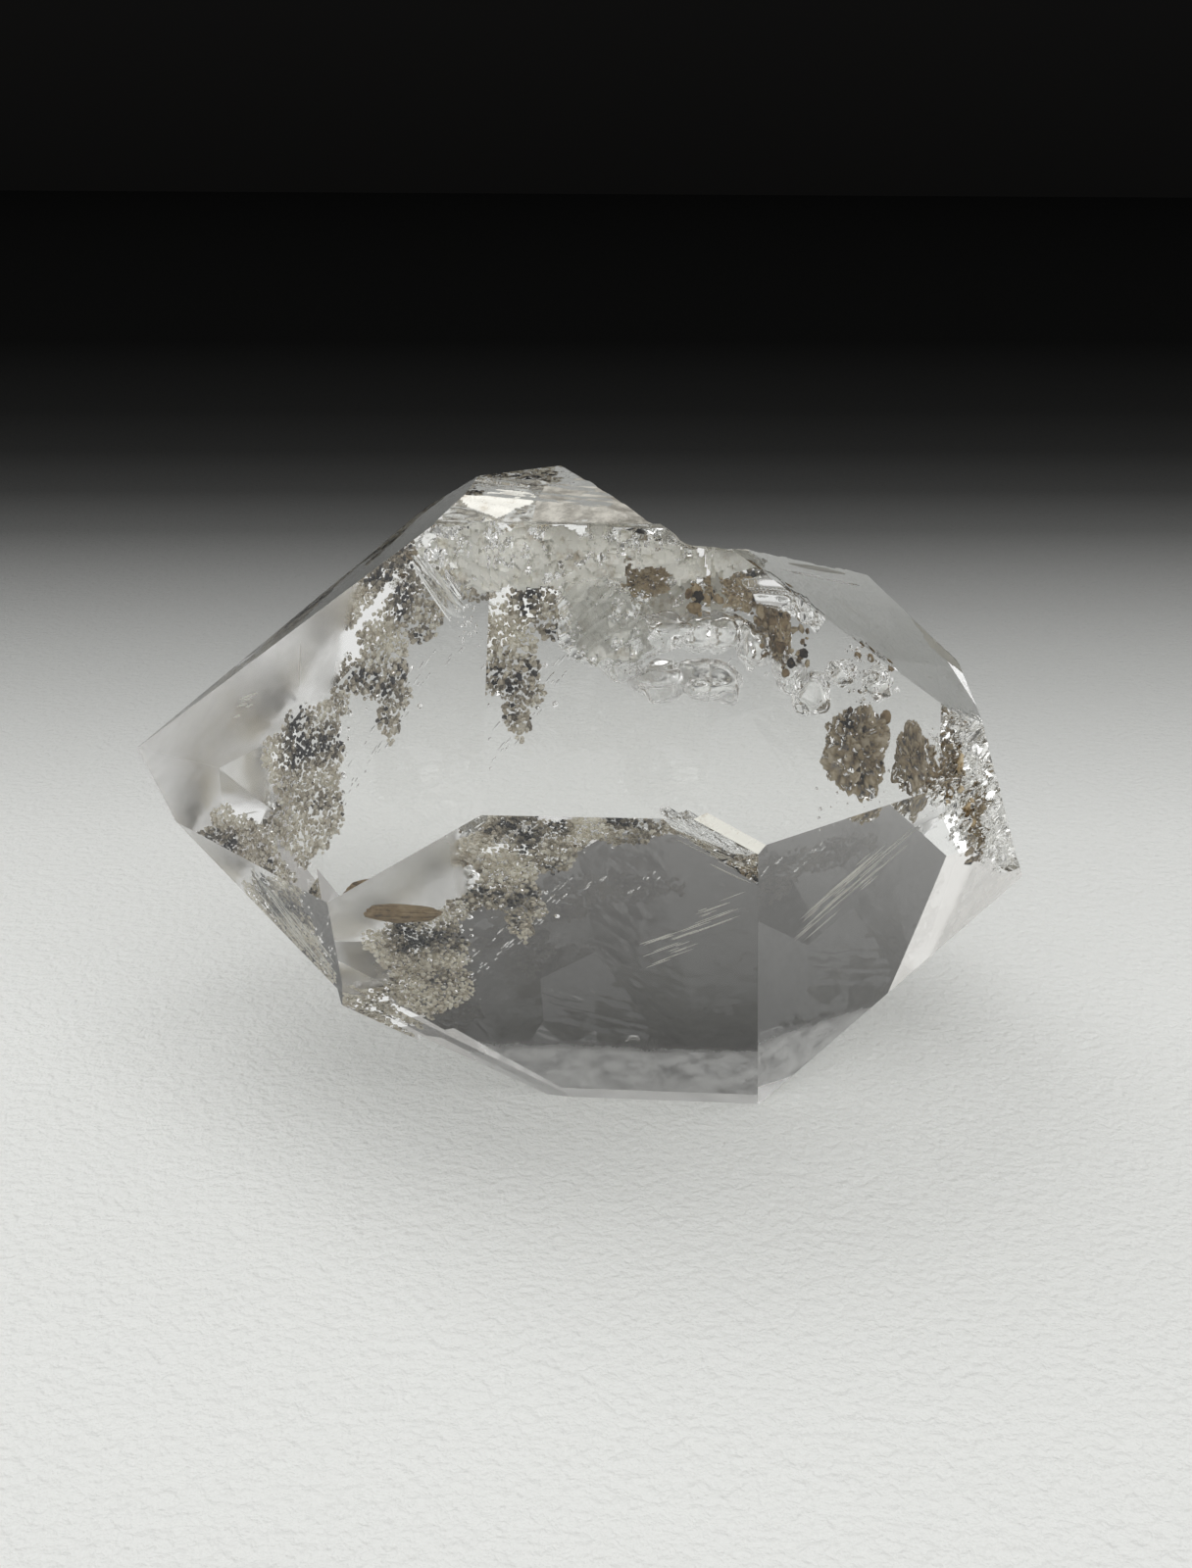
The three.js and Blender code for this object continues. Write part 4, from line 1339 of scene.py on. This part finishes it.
def crack(name, outline, spacing, place, depth, thickness, fray, seed):
    """A thin sheet laid by place: depth and thickness are formulas of X and Z, and the outline is
    frayed by noise. Cells with a corner that lies too close to a face are left out."""
    corners = np.array(outline)
    low, high = corners.min(axis=0) - fray, corners.max(axis=0) + fray
    x, z = np.meshgrid(np.arange(low[0], high[0], spacing),
                       np.arange(low[1], high[1], spacing))
    flat = np.stack([x, z], axis=-1)
    bend = np.stack([value_noise(flat * 1.8, seed), value_noise(flat * 1.8, seed + 1)], axis=-1)
    bent = flat + fray * bend
    inside = inside_outline(bent[..., 0], bent[..., 1], outline)[:-1, :-1]
    near = place(x, z, depth(x, z))
    far = place(x, z, depth(x, z) + thickness(x, z))
    sound = np.minimum(depth_inside(near), depth_inside(far)) > CRACK_MARGIN
    inside &= sound[:-1, :-1] & sound[1:, :-1] & sound[:-1, 1:] & sound[1:, 1:]
    if near[0, 0, 1] > far[0, 0, 1]:
        near, far = far, near
    return thin_sheet(name, near, far, inside)


print("crack margin:", CRACK_MARGIN, "mm")

# %% [markdown]
# The frosted crack under the crest follows the front faces at about a millimetre's depth, and
# both of its walls are covered in small steep facets, so it looks white. A second one like it
# lies deeper behind, and a small one at its right corner. They share both formulas and differ
# in outline, depth, fray and how much of their walls is clear.

# %% The frosted cracks
FROST_OUTLINE = [
    (-4.2, 19.3), (-2.9, 20.1), (-2.2, 20.5), (2.5, 20.45), (3.4, 20.1), (4.1, 19.6),
    (4.4, 19.0), (3.4, 19.1), (3.1, 19.65), (2.0, 19.65), (1.9, 19.1), (1.7, 18.9),
    (2.6, 18.2), (2.6, 17.3), (1.0, 17.1), (0.5, 17.6), (0.2, 18.9), (-1.4, 19.0),
    (-2.0, 18.6), (-3.0, 18.9),
]
CORNER_FROST_OUTLINE = [(4.1, 20.0), (4.7, 20.15), (5.6, 19.7), (5.5, 19.3), (4.4, 19.3)]
BACK_FROST_OUTLINE = [(1.2, 19.4), (2.4, 19.2), (3.4, 18.6), (4.4, 17.9), (5.0, 17.4),
                      (3.4, 17.2), (1.4, 17.8)]


def frost_depth(deeper):
    """The depth of a frosted crack: half a millimetre and the given share more, with slow waves
    and steep facets."""
    def depth(x, z):
        """The depth at each X and Z."""
        flat = np.stack([x + 0.4 * z, z - 0.3 * x], axis=-1)
        waves = 0.35 * value_noise(flat * 0.6, 3, layers=2)
        facets = 0.14 * broken_facets(flat * 3.2, 5, tilt=1.4)
        return 0.5 + waves + facets + deeper
    return depth


def frost_thickness(x, z):
    """The gap between the walls: 0.06 mm, and more where facets stand up."""
    flat = np.stack([x, z], axis=-1)
    return 0.06 + 0.14 * broken_facets(flat * 5.5, 8, tilt=1.2, step=0.5).clip(0)


middle_of_frost = frost_depth(0.3)(np.array([0.0]), np.array([19.5]))
print("depth of the frost in its middle, mm:", middle_of_frost.round(2))

# %% [markdown]
# The shell-shaped crack right of the frost has ripples round the point from which it spread, as
# in a chip of thick glass. Two more run along edges and are folded like a curtain. A strip painted
# cream, a painted highlight, lies under the upper right end face, and one small fleck low in the
# back face.


# %% The rippled and folded cracks
SHELL_OUTLINE = [(0.1, 19.1), (1.6, 19.3), (2.7, 18.5), (3.0, 17.5), (2.3, 17.0), (1.0, 17.1),
                 (0.1, 17.6)]
LEDGE_OUTLINE = [(5.1, 19.2), (5.8, 19.2), (6.8, 18.5), (7.6, 17.8), (7.3, 17.4), (6.4, 18.1),
                 (5.6, 18.6)]
EDGE_OUTLINE = [(3.1, 13.8), (4.0, 13.65), (5.0, 12.95), (5.85, 12.3), (5.6, 12.15),
                (4.6, 12.65), (3.6, 13.2)]
STRIP_OUTLINE = [(10.6, 4.5), (11.0, 3.0), (11.25, 1.6), (12.0, 1.4), (12.6, 1.7), (12.7, 3.5),
                 (11.9, 4.8)]
FLECK_OUTLINE = [(1.3, 2.8), (1.9, 2.8), (1.8, 3.1), (1.5, 3.1)]


def shell_depth(x, z):
    """Rings round the starting point of the crack: a sine of the distance from it."""
    distance = np.hypot(x + 0.6, 1.3 * (z - 19.6))
    return 0.4 + 0.1 * distance ** 0.5 + 0.045 * np.sin(13 * distance + 2 * np.sin(2 * x + z))


def shell_thickness(x, z):
    """From 0.05 to 0.13 mm, in waves."""
    return 0.05 + 0.04 * (1 + np.sin(7 * x + 5 * z))


def ledge_depth(x, z):
    """Steep folds that run along the edge of the face: a sine across the edge, whose waves are
    bent by a slower one along it."""
    folds = np.sin(8 * (x + z) + 3 * np.sin(1.7 * (x - z)))
    return 0.45 + 0.1 * folds + 0.05 * np.sin(17 * z + 4 * x)


def edge_depth(x, z):
    """Folds along the upper right edge of the lower front face, made in the same way."""
    across = 0.74 * x + z
    folds = np.sin(16 * across + 2 * np.sin(1.3 * (x - z)))
    return 0.3 + 0.12 * folds + 0.04 * np.sin(41 * across + 3 * x)


def even(value):
    """A depth or thickness that is the same everywhere."""
    return lambda x, z: value + 0 * x


def under_low_front(x, z, depth):
    """Points below the lower front face."""
    return under_face("prism_lower_front", x, z, depth)


def under_right_top(x, y, depth):
    """Points below the upper right end face, given in X and Y."""
    normal, distance = plane_of(FACES["right_top"])
    z = (distance / MM - depth - normal[0] * x - normal[1] * y) / normal[2]
    return np.stack([x, y, z], axis=-1)


print("a place under the upper right end face:", under_right_top(11.5, 3.0, 0.1).round(2))

# %% [markdown]
# All cracks go through the same loop. Their rows differ in outline, spacing of the grid, place,
# depth, thickness, fray and finish. In a frosted one, some patches of the wall are left clear,
# as they are where a real crack has closed again.

# %% Add the cracks
# The last value of a row is the height of the noise above which a frosted wall is clear.
CRACKS = (
    # The strip is painted cream as a painted highlight.
    ("cream_highlight_strip", STRIP_OUTLINE, 0.12, under_right_top, even(0.1), even(0.05), 0.25,
     WORN_AND_HIGHLIGHT_SLOT, None),
    ("frost", FROST_OUTLINE, 0.055, under_front, frost_depth(0.3), frost_thickness, 0.35,
     FROST_AND_HIGHLIGHT_SLOT, 0.16),
    ("back_frost", BACK_FROST_OUTLINE, 0.06, under_front, frost_depth(2.9), frost_thickness, 0.4,
     FROST_AND_HIGHLIGHT_SLOT, 0.05),
    ("corner_frost", CORNER_FROST_OUTLINE, 0.055, under_front, frost_depth(0.1),
     frost_thickness, 0.15, FROST_AND_HIGHLIGHT_SLOT, 0.05),
    ("shell", SHELL_OUTLINE, 0.042, under_front, shell_depth, shell_thickness, 0.2,
     CLEAR_SLOT, None),
    ("ledge_band", LEDGE_OUTLINE, 0.03, under_front, ledge_depth, even(0.1), 0.15,
     CLEAR_SLOT, None),
    ("edge_band", EDGE_OUTLINE, 0.03, under_low_front, edge_depth, even(0.06), 0.1,
     CLEAR_SLOT, None),
    ("fleck", FLECK_OUTLINE, 0.04, under_back, even(0.1), even(0.04), 0.15, BROKEN_SLOT, None),
)
for number, row in enumerate(CRACKS):
    name, outline, spacing, place, depth, thickness, fray, slot_index, glassy = row
    sheet = crack(name, outline, spacing, place, depth, thickness, fray, 21 + number)
    add_hollows(crystal, sheet, slot_index, glassy)
print("after the cracks:", len(crystal.data.polygons), "faces")

# %% [markdown]
# Smooth shading blends the light over neighbouring faces. It suits the walls of cavities and
# breaks, but it would bend the reflections near the edges of a growth face, where the triangles
# are long and thin. So edges sharper than an angle are kept crisp, and all that lies on a growth
# face is shaded flat.


# %% Finish of the quartz mesh
CRISP_ANGLE = 25.0
SAME_WAY = 0.999  # the least cosine between a polygon's direction and its growth face's


def keep_flat_faces_flat(obj, angle):
    """Smooth shading with every edge sharper than the angle kept crisp, and flat shading for all
    that lies on a growth face."""
    obj.data.shade_smooth()
    obj.data.set_sharp_from_angle(angle=np.radians(angle))
    faces = obj.data.polygons
    middles, directions = np.empty(len(faces) * 3), np.empty(len(faces) * 3)
    faces.foreach_get("center", middles)
    faces.foreach_get("normal", directions)
    smooth = np.ones(len(faces), dtype=bool)
    for normal, distance in (plane_of(face) for face in FACES.values()):
        on_plane = np.abs(middles.reshape(-1, 3) @ normal - distance) < ON_FACE
        smooth &= ~(on_plane & (directions.reshape(-1, 3) @ normal > SAME_WAY))
    faces.foreach_set("use_smooth", smooth)
    return np.count_nonzero(~smooth)


flat_count = keep_flat_faces_flat(crystal, CRISP_ANGLE)
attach(crystal, "root")
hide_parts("crystal")
print(flat_count, "of", len(crystal.data.polygons), "faces are shaded flat")

# %% [markdown]
# A camera could be set by hand until its picture looks right. Here its place was worked out: the
# angles between quartz faces are known, so the crystal's corners in the picture give both its
# shape and where the camera stood. The focal length is in pixels, and the lens in millimetres
# follows from it and the size of the sensor.


# %% The camera, at the photograph's angle
IMAGE_HEIGHT = 1600
FOCAL_PIXELS = 1957.94
SENSOR_MM = 36.0
CAMERA_AT = Vector((5.768, -61.121, 33.351)) * MM
CAMERA_FORWARD = Vector((-0.08160, 0.93120, -0.35525))
CAMERA_UP = Vector((-0.03105, 0.35389, 0.93477))


def aim_camera():
    """A camera turned by its own three axes: right, up and back."""
    data = bpy.data.cameras.new("camera")
    data.sensor_fit = "VERTICAL"
    data.sensor_height = SENSOR_MM
    data.lens = FOCAL_PIXELS / IMAGE_HEIGHT * SENSOR_MM
    data.clip_start = MM
    camera = bpy.data.objects.new("camera", data)
    scene.collection.objects.link(camera)
    back = -CAMERA_FORWARD.normalized()
    right = CAMERA_UP.cross(back).normalized()
    turn = camera.matrix_world.to_3x3()
    turn.col[0], turn.col[1], turn.col[2] = right, back.cross(right), back
    camera.matrix_world = turn.to_4x4()
    camera.location = CAMERA_AT
    scene.camera = camera
    return camera


camera = aim_camera()
print("lens", round(camera.data.lens, 2), "mm")

# %% [markdown]
# A clear crystal shows its surroundings more than itself, so the stage matters: a pale floor whose
# colour is painted darker towards the back, a painted fall-off of the light, and a glowing dark
# sheet behind it, painted shade for the dim space there, that gets lighter above the camera's
# view, because the lower front face bends the view upwards and shows that part. Both fade along
# one axis, which a colour ramp over the place in millimetres gives.


# %% Colours that fade along an axis
def fading_colour(nodes, links, axis, stops, tint, turned=0.0):
    """A colour ramp along one object axis, turned about Z by an angle. stops are (place in mm,
    brightness)."""
    first, last = stops[0][0], stops[-1][0]
    split = node(nodes, "ShaderNodeSeparateXYZ")
    links.new(object_pattern(nodes, links, turn=(0, 0, turned)), split.inputs["Vector"])
    span = node(nodes, "ShaderNodeMapRange", From_Min=first, From_Max=last)
    links.new(split.outputs[axis], span.inputs["Value"])
    ramp = node(nodes, "ShaderNodeValToRGB")
    links.new(span.outputs["Result"], ramp.inputs["Fac"])
    elements = ramp.color_ramp.elements
    while len(elements) < len(stops):
        elements.new(0.5)
    for element, (at, value) in zip(elements, stops):
        element.position = (at - first) / (last - first)
        element.color = (*(value * t for t in tint), 1)
    return ramp.outputs["Color"]


# Places in mm and how bright the floor and the sheet are painted there: painted light that falls
# off towards the back.
FLOOR_FADE = [(-60, 0.83), (1, 0.80), (20, 0.70), (32, 0.57), (42, 0.46), (50, 0.38),
              (59, 0.285), (69, 0.19), (80, 0.095), (94, 0.040), (111, 0.018), (132, 0.010),
              (182, 0.004)]
SHEET_FADE = [(0, 0.0035), (60, 0.005), (110, 0.025), (121, 0.035), (133, 0.065), (145, 0.09),
              (168, 0.13), (195, 0.24), (240, 0.4)]
print("the floor fades over", FLOOR_FADE[-1][0] - FLOOR_FADE[0][0], "mm")


# %% The floor and the sheet behind it
FLOOR_HALF = 0.6
# The floor lies a hair below the crystal, so that its bottom face still touches air.
FLOOR_Z = -0.02 * MM
FLOOR_TURN = -5.0
SHEET = {"y": 0.45, "half": 0.9, "top": 0.6}


def stage_floor():
    """A square just below the crystal, whose colour is painted darker towards the back as painted
    shade.
    """
    corners = [(-1, -1), (1, -1), (1, 1), (-1, 1)]
    points = [(x * FLOOR_HALF, y * FLOOR_HALF, FLOOR_Z) for x, y in corners]
    floor = mesh_object("floor", points, [(0, 1, 2, 3)])
    material, nodes, links = new_material("pale_floor")
    shader = nodes["Principled BSDF"]
    shader.inputs["Roughness"].default_value = 0.7
    shader.inputs["Specular IOR Level"].default_value = 0.0
    colour = fading_colour(nodes, links, "Y", FLOOR_FADE, (0.995, 1.005, 0.985), FLOOR_TURN)
    links.new(colour, shader.inputs["Base Color"])
    grain = placed(nodes, links, PATCHY, object_pattern(nodes, links), Scale=2.6, Detail=3.0,
                   Coarseness=0.55)
    bump = node(nodes, "ShaderNodeBump", Strength=0.6, Distance=0.3 * MM)
    links.new(grain.outputs["Pattern"], bump.inputs["Height"])
    links.new(bump.outputs["Normal"], shader.inputs["Normal"])
    floor.data.materials.append(material)
    return floor


def stage_sheet():
    """An upright rectangle behind the floor that glows by its own fading colour: painted shade
    behind the stage, lighter towards the top.
    """
    y, half, top = SHEET["y"], SHEET["half"], SHEET["top"]
    points = [(-half, y, 0), (half, y, 0), (half, y, top), (-half, y, top)]
    sheet = mesh_object("sheet_behind", points, [(3, 2, 1, 0)])
    material, nodes, links = new_material("dark_sheet")
    nodes.remove(nodes["Principled BSDF"])
    glow = node(nodes, "ShaderNodeEmission")
    links.new(fading_colour(nodes, links, "Z", SHEET_FADE, (1, 0.98, 0.95)), glow.inputs["Color"])
    links.new(glow.outputs["Emission"], nodes["Material Output"].inputs["Surface"])
    sheet.data.materials.append(material)
    return sheet


stage_floor()
stage_sheet()
print("floor and sheet are in place")

# %% [markdown]
# Two soft lamps stand above, one at the left and one in front, so that the faces have soft
# highlights and the shadow is faint. A bright world around them fills the rest, because clear
# quartz shows whatever is there.


# %% Lamps and surroundings
def soft_light(name, at, size, power):
    """A rectangle of light that faces the crystal."""
    data = bpy.data.lights.new(name, "AREA")
    data.shape = "RECTANGLE"
    data.size, data.size_y = size
    data.energy = power
    light = bpy.data.objects.new(name, data)
    scene.collection.objects.link(light)
    light.location = at
    light.rotation_euler = (-Vector(at)).to_track_quat("-Z", "Y").to_euler()
    return light


soft_light("overhead_softbox", (-0.17, 0.09, 0.34), (0.3, 0.3), 0.25)
soft_light("front_softbox", (0.08, -0.14, 0.36), (0.3, 0.3), 0.3)
world = bpy.data.worlds.new("room")
scene.world = world
world.use_nodes = True
background = world.node_tree.nodes["Background"]
background.inputs["Color"].default_value = (1.0, 1.0, 0.99, 1)
background.inputs["Strength"].default_value = 0.78
scene.view_settings.view_transform = "Standard"

# %% [markdown]
# Light crosses a crystal's faces many times before it leaves, so the renderer is allowed more
# bounces than usual. The limit on indirect light keeps stray bright dots out.

# %% Light paths
scene.cycles.max_bounces = 22
scene.cycles.transmission_bounces = 14
scene.cycles.glossy_bounces = 8
scene.cycles.diffuse_bounces = 7
scene.cycles.transparent_max_bounces = 24
scene.cycles.sample_clamp_indirect = 4.0
print("bounces:", scene.cycles.max_bounces)
